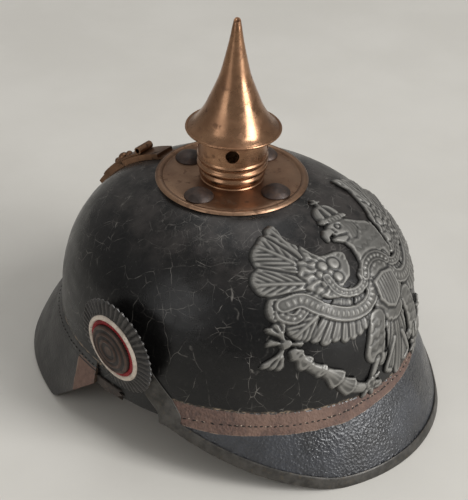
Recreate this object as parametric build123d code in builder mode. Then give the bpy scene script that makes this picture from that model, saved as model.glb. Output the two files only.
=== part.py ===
from build123d import *
import math
import os

# Spiked leather helmet. The front looks along -Y, the wearer's right is -X, +Z is up,
# and z = 0 is the table on which the two visors rest. Millimetres.

# Skull
skull_half_length = 107.5
skull_half_width = 96.0
belt_height = 35.0
dome_apex = 134.5
crown_height = 129.0
dome_power_share = 3.1
dome_height_shares = (0.25, 0.45, 0.62, 0.75, 0.84, 0.9)
leather = 3.0
seam_height = 44.0
ear_height = 30.5
ear_front = 24.0
ear_back = 27.0
seam_gap = 0.15
lip_leather = 1.5
lip_length = 6.0
fold_height = 4.0

# Visors
front_side_spread = 12.0
front_reach_spread = 19.5
rear_side_spread = 9.0
rear_reach_spread = 26.5
visor_bulge_share = 0.08
flare_level_shares = (-0.1, 0.3, 0.65, 1.06)
visor_leather = 3.0
front_rest = 111.0
front_corner = 40.0
rear_rest = 64.0
rear_corner = 12.0
rest_flat = 0.4

# Front trim
trim_sheet = 0.9
trim_depth = 6.2
tongue_width = 14.0
tongue_y = -27.0
tongue_z = 33.5

# Ear bindings
binding_leather = 1.1
binding_depth = 5.0
binding_torn_end = 5.0
binding_full_end = -12.5

# Spike base
spike_y = 6.5
plate_radius = 43.1
plate_sheet = 0.8
plate_roll = 1.1
plate_bead = 0.5
plate_bead_inset = 4.8
collar_foot = 17.5
collar_bead = 0.9
collar_lower = 6.6
collar_groove = 0.3
collar_band = 19.9
collar_upper = 6.5
collar_fit = 0.15
socket_radius = 16.4
socket_sheet = 1.4
socket_flange = 3.0
socket_flange_sheet = 1.0
crown_hole_gap = 0.3
slot_turn = 38.0
pin_radius = 1.2
pin_gap = 0.25
pin_drop = 5.8
pin_end_gap = 0.1

# Spike
neck_radius = 19.3
neck_sheet = 0.8
neck_height = 16.5
neck_ridge = 0.6
neck_ridge_height = 1.0
turn_gap = 0.3
sleeve_fit = 0.06
sleeve_sheet = 0.9
sleeve_depth = 10.5
vent_radius = 3.7
vent_height = 8.7
vent_count = 4
vent_angle = 35.6
flare_radius = 26.8
flare_rim = 0.75
spike_length = 65.0
spike_tip = 2.0
spike_side_shares = ((0.8, 0.077), (0.62, 0.192), (0.475, 0.331), (0.336, 0.478), (0.252, 0.608), (0.145, 0.81))
spike_wall = 1.3

# Studs in the base plate
stud_radius = 8.2
stud_rise = 4.4
stud_edge = 0.6
stud_circle = 30.2
stud_shank = 1.8
stud_hole_gap = 0.2
washer_radius = 5.5
washer_sheet = 1.0
rivet_radius = 3.0
rivet_sheet = 0.9

# Rear spine and its vent slider
spine_width = 13.5
spine_sheet = 1.2
spine_gap = 0.15
spine_top = 48.0
spine_foot = 45.5
slide_y = 31.6
slide_z = 50.75
slide_radius = 77.84
housing_rise = 3.4
housing_sheet = 0.8
housing_start = 17.0
housing_end = 57.5
slot_width = 3.8
slider_width = 11.4
slider_sheet = 1.2
slider_gap = 0.06
slider_start = 28.0
slider_end = 54.0
slider_travel = 7.0
slot_start = 28.9
slot_end = 53.0
slider_curl = 2.3
slider_curl_sheet = 0.8
knob_radius = 3.2
knob_rise = 2.6
knob_place = 41.5
rivet_places = (37.5, 45.5)
slider_rivet = 1.6
slider_rivet_head = 2.2
slider_washer = 3.0
slider_washer_sheet = 0.6
spine_stud_radius = 3.4
spine_stud_height = 53.0
spine_stud_rise = 2.2

# Cockades on their posts; the right one (-1) has been pushed askew, the left one (1) sits flat
cockade_y = 6.3
cockade_z = {-1: 68.7, 1: 65.0}
cockade_stand = {-1: 99.7, 1: 97.3}
cockade_back = {-1: 10.0, 1: 0}
cockade_down = {-1: 5.5, 1: 0}
cockade_radius = 28.7
cockade_sheet = 0.8
cockade_step = 2.0
cockade_step_radius = 20.2
cockade_teeth = 44
tooth_depth = 1.5
white_radius = 18.4
white_bead = 1.45
core_rise = 1.2
boss_radius = 14.6
boss_rise = 4.6
boss_bead = 0.8
boss_edge = 1.4
boss_ring_shares = (0.93, 0.68, 0.42)
post_radius = 2.2
post_gap = 0.2
post_base = 6.5
post_seat = 96.4
post_reach = 2.4
post_washer = 6.0
post_washer_sheet = 1.5
post_washer_stand = 5.0
post_tail = 1.0

# Eagle plate, drawn on a plane that leans back with the dome
eagle_tilt = 35.0
eagle_gap = 0.3
eagle_sheet = 1.2
eagle_relief = 1.0
wing_x = 22.5
wing_w = 44.0
wing_reach = 37.0
feather_width = 6.6
upper_feathers = (99.0, 117.0, 134.0, 150.0, 165.0)
lower_feathers = (182.0, 197.0, 212.0, 227.0, 242.0, 257.0)
lower_reach_share = 0.93
shoulder_radius = 17.0
body_w = 27.0
body_half_width = 15.0
body_half_height = 21.0
neck_w = 55.0
neck_x = 9.0
neck_half = 7.5
head_x = 2.0
head_w = 65.0
head_radius = 6.4
beak_length = 10.0
beak_half = 3.4
eagle_crown_x = 7.0
eagle_crown_w = 74.0
eagle_crown_radius = 5.6
tail_w = 6.0
tail_reach = 23.0
tail_feathers = (245.0, 258.0, 270.0, 282.0, 295.0)
thigh_x = 17.0
thigh_w = -1.0
thigh_half_width = 6.6
thigh_half_height = 12.0
claw_x = 19.0
claw_w = -19.5
claw_radius = 5.0
rod_half = 2.2
sceptre_x = 60.0
sceptre_w = 25.0
sceptre_arm = 10.5
sceptre_arm_half = 4.0
orb_x = 30.0
orb_w = -13.0
orb_radius = 8.0
orb_arm = 5.5
orb_arm_half = 1.8
shield_half_width = 7.5
shield_half_height = 10.5
ribbon_half = 3.6
ribbon_w = 31.0
ribbon_sag = 13.0
ribbon_reach = 52.0
loop_height_share = 0.78
loop_angle = 16.0
loop_width = 9.0
loop_depth = 9.0
loop_wire = 1.6
loop_slot_gap = 0.4
wedge_length = 13.0
wedge_thickness = 3.0

# Liner
band_stand = 5.2
band_leather = 1.4
band_low = 33.0
band_high = 62.0
finger_middle = 9.5
finger_count = 8
finger_gap = 0.3
finger_leather = 1.2
finger_heights = (54.0, 68.0, 82.0, 93.0, 99.5, 102.5)
finger_insets = (0.0, 1.2, 6.5, 19.0, 36.0, 52.0)
finger_root = 62.0
finger_root_reach = 120.0
finger_tip = 24.0
finger_tip_reach = 44.0

spare = 20.0
reach_x = skull_half_width + front_side_spread + spare
reach_y = skull_half_length + rear_reach_spread + spare

os.makedirs("parts", exist_ok=True)


middle_y = (rear_reach_spread - front_reach_spread - seam_gap - trim_sheet) / 2


def finish(builder, name):
    """Move a finished piece so that the helmet's middle is at y = 0, label it and write its file."""
    piece = Pos(0, -middle_y, 0) * builder.part
    piece.label = name
    export_step(piece, f"parts/{name}.step")


def cap_points(radius, low, high):
    """Rim, middle and top of the outline of a ball-shaped cap on its axis."""
    ball = (radius**2 + (high - low) ** 2) / (2 * (high - low))
    half = math.asin(radius / ball) / 2
    return (radius, low), (ball * math.sin(half), high - ball * (1 - math.cos(half))), (0, high)


def oval(share, out):
    """Height, half width and half length of the dome's oval, `out` clear of the leather."""
    rise = dome_apex - belt_height
    size = math.sqrt(1 - share**dome_power_share)
    slope = dome_power_share / 2 * share ** (dome_power_share - 1) / size
    lean = math.atan(slope * skull_half_length / rise)
    return (
        belt_height + rise * share + out * math.sin(lean),
        skull_half_width * size + out * math.cos(lean),
        skull_half_length * size + out * math.cos(lean),
    )


def skull_place(share, angle):
    """Point and outward normal on the skull, by height share and angle from the front."""
    rise = dome_apex - belt_height
    size = math.sqrt(1 - share**dome_power_share)
    across = math.sin(math.radians(angle))
    along = -math.cos(math.radians(angle))
    place = Vector(skull_half_width * size * across, skull_half_length * size * along, belt_height + rise * share)
    normal = Vector(
        size * across / skull_half_width,
        size * along / skull_half_length,
        dome_power_share / 2 * share ** (dome_power_share - 1) / rise,
    )
    return place, normal.normalized()


def dome(out, foot):
    """Solid bowl whose side stands `out` from the skull's leather, flat at the crown."""
    crown_share = (crown_height - belt_height) / (dome_apex - belt_height)
    ovals = [oval(share, out) for share in (0, *dome_height_shares, crown_share)]
    with BuildPart() as bowl:
        for height, half_width, half_length in [(foot, *ovals[0][1:]), *ovals]:
            with BuildSketch(Plane.XY.offset(height)):
                Ellipse(half_width, half_length)
        loft()
    return bowl.part


def flare(side_spread, reach_spread, out):
    """Solid under a visor's face, which opens from the seam's oval to the table's oval."""
    with BuildPart() as body:
        for share in flare_level_shares:
            spread = share + visor_bulge_share * 4 * share * (1 - share)
            with BuildSketch(Plane.XY.offset(seam_height * (1 - share))):
                Ellipse(
                    skull_half_width + side_spread * spread + out,
                    skull_half_length + reach_spread * spread + out,
                )
        loft()
    return body.part


def wall(outer, inner):
    """What lies between two nested solids."""
    with BuildPart() as shell:
        add(outer)
        add(inner, mode=Mode.SUBTRACT)
    return shell.part


def slab(low, high):
    """Everything from low to high: (y, z) corners across the whole width."""
    with BuildPart() as block:
        with BuildSketch(Plane.YZ):
            with BuildLine():
                Polyline((low[0], low[1]), (high[0], low[1]), (high[0], high[1]), (low[0], high[1]), close=True)
            make_face()
        extrude(amount=reach_x, both=True)
    return block.part


def front_lobe(rise, end):
    """Everything before y = -end over the front visor's edge line raised by rise."""
    low = rise - rest_flat
    with BuildPart() as block:
        with BuildSketch(Plane.YZ):
            with BuildLine():
                Polyline((-ear_front, ear_height + rise), (-front_rest, low), (-reach_y, low))
                Polyline((-reach_y, low), (-reach_y, visor_top), (-ear_front, visor_top), (-ear_front, ear_height + rise))
            make_face()
            fillet(vertices().sort_by_distance((-front_rest, low))[0], front_corner)
        extrude(amount=reach_x, both=True)
        add(slab((-reach_y, 0), (-end, visor_top)), mode=Mode.INTERSECT)
    return block.part


front_skin = flare(front_side_spread, front_reach_spread, 0)
rear_skin = flare(rear_side_spread, rear_reach_spread, 0)
front_inside = flare(front_side_spread, front_reach_spread, -visor_leather)
rear_inside = flare(rear_side_spread, rear_reach_spread, -visor_leather)
visor_top = seam_height - seam_gap
front_end = ear_front + trim_sheet + seam_gap

# Front visor
front_body = front_lobe(trim_sheet + seam_gap, front_end)
with BuildPart() as front_visor:
    add(wall(front_skin, front_inside))
    add(front_body, mode=Mode.INTERSECT)
finish(front_visor, "front_visor")

# Rear visor: its lower edge runs along the table and climbs to the ear
rear_shell = wall(rear_skin, rear_inside)
with BuildPart() as rear_visor:
    with BuildSketch(Plane.YZ):
        with BuildLine():
            Polyline(
                (ear_back, visor_top),
                (ear_back, ear_height),
                (rear_rest, -rest_flat),
                (reach_y, -rest_flat),
                (reach_y, visor_top),
                close=True,
            )
        make_face()
        fillet(vertices().sort_by_distance((rear_rest, -rest_flat))[0], rear_corner)
    extrude(amount=reach_x, both=True)
    add(rear_shell, mode=Mode.INTERSECT)
    add(slab((0, 0), (reach_y, visor_top)), mode=Mode.INTERSECT)
finish(rear_visor, "rear_visor")

# Skull: bowl with a pressed crown, ear sides, and turned-out lips under both visors
lip_face = -visor_leather - seam_gap
lip_back = lip_face - lip_leather
lip_low = seam_height - lip_length


def lip(side_spread, reach_spread, limit):
    """Thin flange of skull leather that carries a visor from below."""
    with BuildPart() as flange:
        add(wall(flare(side_spread, reach_spread, lip_face), flare(side_spread, reach_spread, lip_back)))
        add(limit, mode=Mode.INTERSECT)
    return flange.part


front_lip = lip(front_side_spread, front_reach_spread, slab((-reach_y, lip_low), (-front_end, seam_height)))
rear_lip = lip(rear_side_spread, rear_reach_spread, slab((ear_back, lip_low), (reach_y, seam_height)))
bowl = wall(dome(0, ear_height), dome(-leather, ear_height - leather))
front_gap = slab((-reach_y, 0), (seam_gap - ear_front, seam_height))
rear_gap = slab((ear_back - seam_gap, 0), (reach_y, seam_height))
crown_hole = socket_radius + crown_hole_gap
with BuildPart() as fold:
    with BuildSketch(Plane.XY.offset(seam_height)):
        Ellipse(skull_half_width - leather / 2, skull_half_length - leather / 2)
        Ellipse(skull_half_width + lip_back, skull_half_length + lip_back, mode=Mode.SUBTRACT)
    extrude(amount=fold_height)
    with BuildSketch(Plane.XY.offset(seam_height)):
        with Locations((0, (ear_back - front_end) / 2)):
            Rectangle(2 * reach_x, ear_back + front_end)
    extrude(amount=fold_height, mode=Mode.SUBTRACT)

loop_places = [skull_place(loop_height_share, side * loop_angle) for side in (-1, 1)]


def loop_plane(place, normal):
    """Plane through a loop, with its x along the skull's normal and its y across the helmet."""
    across = Vector(1, 0, 0) - normal * normal.X
    return Plane(origin=place, x_dir=normal, z_dir=normal.cross(across.normalized()))


def loop_slot(place, normal):
    """Cutter for one slot through which an eagle loop reaches inside."""
    with BuildPart() as cutter:
        with BuildSketch(loop_plane(place, normal)):
            Rectangle(2 * loop_depth, loop_width + 2 * loop_slot_gap)
        extrude(amount=loop_wire / 2 + loop_slot_gap, both=True)
    return cutter.part


slide_axis = Plane(origin=(0, slide_y, slide_z), x_dir=(0, 1, 0), z_dir=(1, 0, 0))


def slide_point(radius, angle):
    """Point (y, z) on a circle round the slide axis, by angle back from straight up."""
    turn = math.radians(angle)
    return (slide_y + radius * math.sin(turn), slide_z + radius * math.cos(turn))


def slide_plane(radius, angle):
    """Plane on the slide circle whose normal points away from the slide axis."""
    turn = math.radians(angle)
    y, z = slide_point(radius, angle)
    return Plane(origin=(0, y, z), x_dir=(1, 0, 0), z_dir=(0, math.sin(turn), math.cos(turn)))


def slide_bar(inner, outer, start, end, width):
    """Curved bar between two radii and two angles round the slide axis."""
    middle = (start + end) / 2
    with BuildPart() as bar:
        with BuildSketch(Plane.YZ):
            with BuildLine():
                upper = ThreePointArc(slide_point(outer, start), slide_point(outer, middle), slide_point(outer, end))
                lower = ThreePointArc(slide_point(inner, start), slide_point(inner, middle), slide_point(inner, end))
                Line(upper @ 0, lower @ 0)
                Line(upper @ 1, lower @ 1)
            make_face()
        extrude(amount=width / 2, both=True)
    return bar.part


skull_vent = slide_bar(
    slide_radius - 2 * leather,
    slide_radius + leather,
    slot_start,
    slot_end,
    slot_width,
)
stud_spots = [(0, spike_y + stud_circle), (0, spike_y - stud_circle), (stud_circle, spike_y), (-stud_circle, spike_y)]
with BuildPart() as skull:
    add(bowl)
    add(front_gap, mode=Mode.SUBTRACT)
    add(rear_gap, mode=Mode.SUBTRACT)
    add(fold.part)
    add(front_lip)
    add(rear_lip)
    with BuildSketch(Plane.XY.offset(crown_height)):
        with Locations((0, spike_y)):
            Circle(crown_hole)
        with Locations(*stud_spots):
            Circle(stud_shank + stud_hole_gap)
    extrude(amount=-2 * leather, mode=Mode.SUBTRACT)
    for side in (-1, 1):
        with BuildSketch(Plane.YZ):
            with Locations((cockade_y, cockade_z[side])):
                Circle(post_radius + post_gap)
        extrude(amount=side * reach_x, mode=Mode.SUBTRACT)
    with BuildSketch(Plane.XZ.offset(-reach_y)):
        with Locations((0, spine_stud_height)):
            Circle(stud_shank + stud_hole_gap)
    extrude(amount=2 * spare + rear_reach_spread, mode=Mode.SUBTRACT)
    for place, normal in loop_places:
        add(loop_slot(place, normal), mode=Mode.SUBTRACT)
    add(skull_vent, mode=Mode.SUBTRACT)
finish(skull, "skull")

# Front trim: a folded channel with capped ends, and a tongue up to each cockade
trim_skin = flare(front_side_spread, front_reach_spread, seam_gap + trim_sheet)
trim_face = flare(front_side_spread, front_reach_spread, seam_gap)
trim_lining = flare(front_side_spread, front_reach_spread, -visor_leather - seam_gap)
trim_back = flare(front_side_spread, front_reach_spread, -visor_leather - seam_gap - trim_sheet)
cap_end = ear_front + trim_sheet
with BuildPart() as tongue_cut:
    for side in (-1, 1):
        run, rise = cockade_y - tongue_y, cockade_z[side] - tongue_z
        with BuildSketch(Plane.YZ):
            with Locations((tongue_y + run / 2, tongue_z + rise / 2)):
                SlotCenterToCenter(math.hypot(run, rise), tongue_width, rotation=math.degrees(math.atan2(rise, run)))
            with Locations((cockade_y, cockade_z[side])):
                Circle(post_radius + post_gap, mode=Mode.SUBTRACT)
        extrude(amount=side * reach_x)
with BuildPart() as low_tongue:
    add(wall(trim_skin, trim_face))
    add(tongue_cut.part, mode=Mode.INTERSECT)
    add(slab((-reach_y, 0), (-ear_front, seam_height)), mode=Mode.INTERSECT)
with BuildPart() as high_tongue:
    add(wall(dome(seam_gap + trim_sheet, ear_height), dome(seam_gap, ear_height)))
    add(tongue_cut.part, mode=Mode.INTERSECT)
    add(front_gap, mode=Mode.SUBTRACT)
with BuildPart() as mid_tongue:
    add(wall(dome(seam_gap + trim_sheet, ear_height), dome(seam_gap, ear_height)))
    add(tongue_cut.part, mode=Mode.INTERSECT)
    add(slab((-ear_front, ear_height), (seam_gap - ear_front, seam_height)), mode=Mode.INTERSECT)
trim_core = front_lobe(trim_sheet, cap_end)
trim_over = front_lobe(trim_depth, cap_end)
with BuildPart() as trim_room:
    add(wall(trim_face, trim_lining))
    add(trim_core, mode=Mode.INTERSECT)
with BuildPart() as visor_trim:
    add(wall(trim_skin, trim_back))
    add(front_lobe(0, ear_front), mode=Mode.INTERSECT)
    add(trim_over, mode=Mode.SUBTRACT)
    add(trim_room.part, mode=Mode.SUBTRACT)
    add(low_tongue.part)
    add(high_tongue.part)
    add(mid_tongue.part)
finish(visor_trim, "visor_trim")

# Bindings folded over the ear edges; the right one is torn short
binding_out = seam_gap + binding_leather
with BuildPart() as ear_bindings:
    with BuildSketch(Plane.XY.offset(ear_height - binding_out)):
        Ellipse(skull_half_width + binding_out, skull_half_length + binding_out)
        Ellipse(skull_half_width - leather - binding_out, skull_half_length - leather - binding_out, mode=Mode.SUBTRACT)
    extrude(amount=binding_depth + binding_out)
    with BuildSketch(Plane.XY.offset(ear_height - seam_gap)):
        Ellipse(skull_half_width + seam_gap, skull_half_length + seam_gap)
        Ellipse(skull_half_width - leather - seam_gap, skull_half_length - leather - seam_gap, mode=Mode.SUBTRACT)
    extrude(amount=binding_depth + binding_out, mode=Mode.SUBTRACT)
    with BuildSketch(Plane.XY):
        with BuildLine():
            Polyline(
                (-reach_x, binding_torn_end),
                (0, binding_torn_end),
                (0, binding_full_end),
                (reach_x, binding_full_end),
                (reach_x, ear_back - 2 * seam_gap),
                (-reach_x, ear_back - 2 * seam_gap),
                close=True,
            )
        make_face()
    extrude(amount=seam_height, mode=Mode.INTERSECT)
finish(ear_bindings, "ear_bindings")

# Spike base: round plate with a rolled rim
turn_plane = Plane(origin=(0, spike_y, 0), x_dir=(1, 0, 0), z_dir=(0, -1, 0))
turn_axis = Axis((0, spike_y, 0), (0, 0, 1))
plate_low = crown_height + seam_gap
plate_top = plate_low + plate_sheet
rim_start = plate_radius - plate_bead_inset
with BuildPart() as spike_base:
    with BuildSketch(turn_plane):
        with BuildLine():
            rim = ThreePointArc(
                (rim_start + plate_bead, plate_top - plate_bead / 2),
                (rim_start + plate_bead_inset / 2, plate_top + plate_roll),
                (plate_radius, plate_low),
            )
            Polyline(
                rim @ 1,
                (crown_hole, plate_low),
                (crown_hole, plate_top),
                (rim_start, plate_top),
                rim @ 0,
            )
        make_face()
    revolve(axis=turn_axis)
    with BuildSketch(Plane.XY.offset(plate_low)):
        with Locations(*stud_spots):
            Circle(stud_shank + stud_hole_gap)
    extrude(amount=plate_sheet + plate_roll, mode=Mode.SUBTRACT)
finish(spike_base, "spike_base")

# Fixed collar: a round bead, a groove and a wide moulded band
collar_bore = socket_radius + collar_fit
groove_z = plate_top + collar_lower
collar_top = groove_z + collar_upper
with BuildPart() as base_collar:
    with BuildSketch(turn_plane):
        with BuildLine():
            foot = Line((collar_bore, plate_top), (collar_foot, plate_top))
            bead = ThreePointArc(
                foot @ 1,
                (collar_foot + collar_bead, plate_top + collar_lower / 2),
                (collar_foot + collar_groove, groove_z),
            )
            swell = ThreePointArc(
                bead @ 1,
                (collar_band, groove_z + collar_upper / 4),
                (collar_band - collar_groove, groove_z + collar_upper / 2),
            )
            waist = Line(swell @ 1, (neck_radius, collar_top))
            Polyline(waist @ 1, (collar_bore, collar_top), foot @ 0)
        make_face()
    revolve(axis=turn_axis)
finish(base_collar, "base_collar")

# Bayonet socket: a tube through the crown with two bent slots and a flange inside
crown_share = (crown_height - belt_height) / (dome_apex - belt_height)
crown_inside = oval(crown_share, -leather)[0]
socket_bore = socket_radius - socket_sheet
pin_z = collar_top - pin_drop
slot_half = pin_radius + pin_gap
with BuildPart() as slots:
    with BuildSketch(turn_plane):
        with Locations((socket_radius, pin_z)):
            Rectangle(2 * socket_sheet + pin_radius, 2 * slot_half)
    revolve(axis=turn_axis, revolution_arc=slot_turn)
    with Locations(Location((0, spike_y, pin_z))):
        with PolarLocations(0, 2, angular_range=slot_turn, endpoint=True):
            with Locations(Location((socket_radius, 0, 0), (0, 90, 0))):
                Cylinder(slot_half, 2 * socket_sheet + pin_radius)
    with BuildSketch(Plane(origin=(0, spike_y, pin_z), x_dir=Vector(1, 0, 0).rotate(Axis.Z, slot_turn))):
        with Locations((socket_radius, 0)):
            Rectangle(2 * socket_sheet + pin_radius, 2 * slot_half)
    extrude(amount=2 * pin_drop)
with BuildPart() as bayonet_socket:
    with BuildSketch(turn_plane):
        with BuildLine():
            Polyline(
                (socket_bore, crown_inside - socket_flange_sheet),
                (socket_radius + socket_flange, crown_inside - socket_flange_sheet),
                (socket_radius + socket_flange, crown_inside),
                (socket_radius, crown_inside),
                (socket_radius, collar_top),
                (socket_bore, collar_top),
                close=True,
            )
        make_face()
    revolve(axis=turn_axis)
    add(slots.part, mode=Mode.SUBTRACT)
    add(slots.part.rotate(turn_axis, 180), mode=Mode.SUBTRACT)
finish(bayonet_socket, "bayonet_socket")

# Spike neck: vented drum with an inner sleeve that turns in the socket
neck_low = collar_top + turn_gap
neck_top = neck_low + neck_height
web_top = neck_low + neck_ridge_height
sleeve_radius = socket_bore - sleeve_fit
with BuildPart() as spike_neck:
    with BuildSketch(turn_plane):
        with BuildLine():
            Polyline(
                (sleeve_radius - sleeve_sheet, collar_top - sleeve_depth),
                (sleeve_radius, collar_top - sleeve_depth),
                (sleeve_radius, neck_low),
                (neck_radius + neck_ridge, neck_low),
                (neck_radius + neck_ridge, web_top),
                (neck_radius, web_top + neck_ridge),
                (neck_radius, neck_top),
                (neck_radius - neck_sheet, neck_top),
                (neck_radius - neck_sheet, web_top),
                (sleeve_radius - sleeve_sheet, web_top),
                close=True,
            )
        make_face()
    revolve(axis=turn_axis)
    with Locations(Location((0, spike_y, neck_low + vent_height))):
        with PolarLocations(neck_radius, vent_count, start_angle=vent_angle):
            Cylinder(vent_radius, 2 * neck_radius - spare, rotation=(0, 90, 0), mode=Mode.SUBTRACT)
    with Locations(Location((0, spike_y, pin_z), (0, 90, 0))):
        Cylinder(pin_radius, 2 * neck_radius, mode=Mode.SUBTRACT)
finish(spike_neck, "spike_neck")

with BuildPart() as bayonet_pins:
    with Locations(Location((0, spike_y, pin_z), (0, 90, 0))):
        Cylinder(pin_radius, 2 * (socket_radius - pin_end_gap))
        Cylinder(2 * pin_radius, 2 * (sleeve_radius - sleeve_sheet), mode=Mode.SUBTRACT)
finish(bayonet_pins, "bayonet_pins")

# Spike: a flared foot drawn up into a long hollow point
with BuildPart() as spike_cone:
    with BuildSketch(turn_plane):
        with BuildLine():
            lip_arc = ThreePointArc(
                (flare_radius - flare_rim, neck_top),
                (flare_radius, neck_top + flare_rim),
                (flare_radius - flare_rim, neck_top + 2 * flare_rim),
            )
            side = Spline(
                lip_arc @ 1,
                *[(flare_radius * across, neck_top + spike_length * up) for across, up in spike_side_shares],
                (spike_tip, neck_top + spike_length),
            )
            Polyline(side @ 1, (0, neck_top + spike_length), (0, neck_top), lip_arc @ 0)
        make_face()
    revolve(axis=turn_axis)
    with BuildSketch(turn_plane):
        with BuildLine():
            core = Spline(
                (neck_radius - 2 * neck_sheet, neck_top),
                *[
                    (flare_radius * across - spike_wall, neck_top + spike_length * up)
                    for across, up in spike_side_shares[1:]
                ],
            )
            Polyline(core @ 1, (0, neck_top + spike_length * spike_side_shares[-1][1]), (0, neck_top), core @ 0)
        make_face()
    revolve(axis=turn_axis, mode=Mode.SUBTRACT)
finish(spike_cone, "spike_cone")

# Domed studs through the plate, each with a washer and a riveted end inside
stud_grip = plate_top - crown_inside + washer_sheet
with BuildPart() as base_studs:
    for x, y in stud_spots:
        with BuildSketch(Plane(origin=(x, y, plate_top), x_dir=(1, 0, 0), z_dir=(0, -1, 0))):
            with BuildLine():
                cap = ThreePointArc(*cap_points(stud_radius, stud_edge, stud_rise))
                Polyline(
                    cap @ 1,
                    (0, -stud_grip - rivet_sheet),
                    (rivet_radius, -stud_grip - rivet_sheet),
                    (rivet_radius, -stud_grip),
                    (stud_shank, -stud_grip),
                    (stud_shank, 0),
                    (stud_radius, 0),
                    cap @ 0,
                )
            make_face()
        revolve(axis=Axis((x, y, 0), (0, 0, 1)))
finish(base_studs, "base_studs")

with BuildPart() as stud_washers:
    with BuildSketch(Plane.XY.offset(crown_inside - washer_sheet)):
        with Locations(*stud_spots):
            Circle(washer_radius)
        with Locations(*stud_spots):
            Circle(stud_shank, mode=Mode.SUBTRACT)
    extrude(amount=washer_sheet)
finish(stud_washers, "stud_washers")

# Rear spine with a raised hollow track, slotted for the vent slider
track_top = slide_radius + housing_rise
track_roof = track_top - housing_sheet
end_wall = math.degrees(housing_sheet / slide_radius)
with BuildPart() as spine_strip:
    add(wall(dome(spine_gap + spine_sheet, ear_height), dome(spine_gap, ear_height)))
    with BuildSketch(Plane.XZ):
        with Locations((0, (spine_foot + crown_height + spare) / 2)):
            Rectangle(spine_width, crown_height + spare - spine_foot)
    extrude(amount=-reach_y, mode=Mode.INTERSECT)
    add(slab((spine_top, 0), (reach_y, dome_apex)), mode=Mode.INTERSECT)
track = slide_bar(slide_radius - leather, track_top, housing_start, housing_end, spine_width)
track_room = slide_bar(
    slide_radius - leather,
    track_roof,
    housing_start + end_wall,
    housing_end - end_wall,
    spine_width - 2 * housing_sheet,
)
track_slot = slide_bar(track_roof - housing_sheet, track_top + housing_sheet, slot_start, slot_end, slot_width)
with BuildPart() as rear_spine:
    add(track)
    add(dome(spine_gap, ear_height), mode=Mode.SUBTRACT)
    add(spine_strip.part)
    add(track_room, mode=Mode.SUBTRACT)
    add(track_slot, mode=Mode.SUBTRACT)
    with BuildSketch(Plane.XZ.offset(-reach_y)):
        with Locations((0, spine_stud_height)):
            Circle(stud_shank + stud_hole_gap)
    extrude(amount=2 * spare + rear_reach_spread, mode=Mode.SUBTRACT)
finish(rear_spine, "rear_spine")

# Vent slider: a curved strip with a curled pull and a knob
slider_low = track_top + slider_gap
slider_top = slider_low + slider_sheet
with BuildPart() as spine_slider:
    add(slide_bar(slider_low, slider_top, slider_start, slider_end, slider_width))
    with BuildSketch(Plane.YZ):
        with Locations(slide_point(slider_low + slider_curl, slider_start)):
            Circle(slider_curl)
            Circle(slider_curl - slider_curl_sheet, mode=Mode.SUBTRACT)
    extrude(amount=slider_width / 2, both=True)
    with Locations(slide_plane(slider_top - slider_sheet / 2, knob_place)):
        Sphere(knob_radius, arc_size1=0, align=(Align.CENTER, Align.CENTER, Align.MIN))
    for place in rivet_places:
        with Locations(slide_plane(slider_low, place)):
            Cylinder(slider_rivet, 2 * slider_sheet + knob_rise, mode=Mode.SUBTRACT)
finish(spine_slider, "spine_slider")

washer_top = track_roof - slider_gap
rivet_low = washer_top - slider_washer_sheet
with BuildPart() as slider_rivets:
    for place in rivet_places:
        with BuildSketch(slide_plane(rivet_low, place)):
            Circle(slider_washer)
        extrude(amount=slider_washer_sheet)
        with BuildSketch(slide_plane(rivet_low, place)):
            Circle(slider_rivet)
        extrude(amount=slider_top - rivet_low)
        with Locations(slide_plane(slider_top, place)):
            Sphere(slider_rivet_head, arc_size1=0, align=(Align.CENTER, Align.CENTER, Align.MIN))
finish(slider_rivets, "slider_rivets")

# Stud that holds the spine's foot
stud_place, stud_normal = skull_place((spine_stud_height - belt_height) / (dome_apex - belt_height), 180)
spine_face = stud_place.Y + 2 * spine_gap + spine_sheet
with BuildPart() as spine_stud:
    with BuildSketch(Plane(origin=(0, spine_face, spine_stud_height), x_dir=(1, 0, 0), z_dir=(0, 1, 0))):
        Circle(spine_stud_radius)
    extrude(amount=spine_stud_rise)
    fillet(edges().group_by(Axis.Y)[-1], spine_stud_rise * 3 / 4)
    with BuildSketch(Plane(origin=(0, spine_face, spine_stud_height), x_dir=(1, 0, 0), z_dir=(0, 1, 0))):
        Circle(stud_shank)
    extrude(amount=-spine_gap - spine_sheet - leather - stud_edge)
finish(spine_stud, "spine_stud")

# Cockades: stepped toothed disc, raised ring, ribbed core and domed boss, one of each per side
cockade_face = cockade_sheet + cockade_step


def side_plane(side, stand):
    """Plane across the helmet at a cockade, whose normal points outward."""
    return Plane(origin=(side * stand, cockade_y, cockade_z[side]), x_dir=(0, side, 0), z_dir=(side, 0, 0))


def facing(side):
    """Direction a cockade faces, by its turns to the back and down from straight sideways."""
    back, down = math.radians(cockade_back[side]), math.radians(cockade_down[side])
    return Vector(side * math.cos(back) * math.cos(down), math.sin(back) * math.cos(down), -math.sin(down))


def cockade_plane(side, lift):
    """Plane across a cockade's axis, `lift` clear of the disc's back."""
    ahead = facing(side)
    middle = Vector(side * cockade_stand[side], cockade_y, cockade_z[side])
    return Plane(origin=middle + ahead * lift, x_dir=Vector(0, 0, 1).cross(ahead), z_dir=ahead)


def cockade_turn(side, lift):
    """Plane for turned outlines round a cockade's axis: x is the radius, y the distance outward."""
    flat = cockade_plane(side, lift)
    return Plane(origin=flat.origin, x_dir=flat.x_dir, z_dir=-flat.y_dir)


def cockade_axis(side):
    """Axis of a cockade."""
    return Axis(cockade_plane(side, 0).origin, facing(side))


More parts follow.
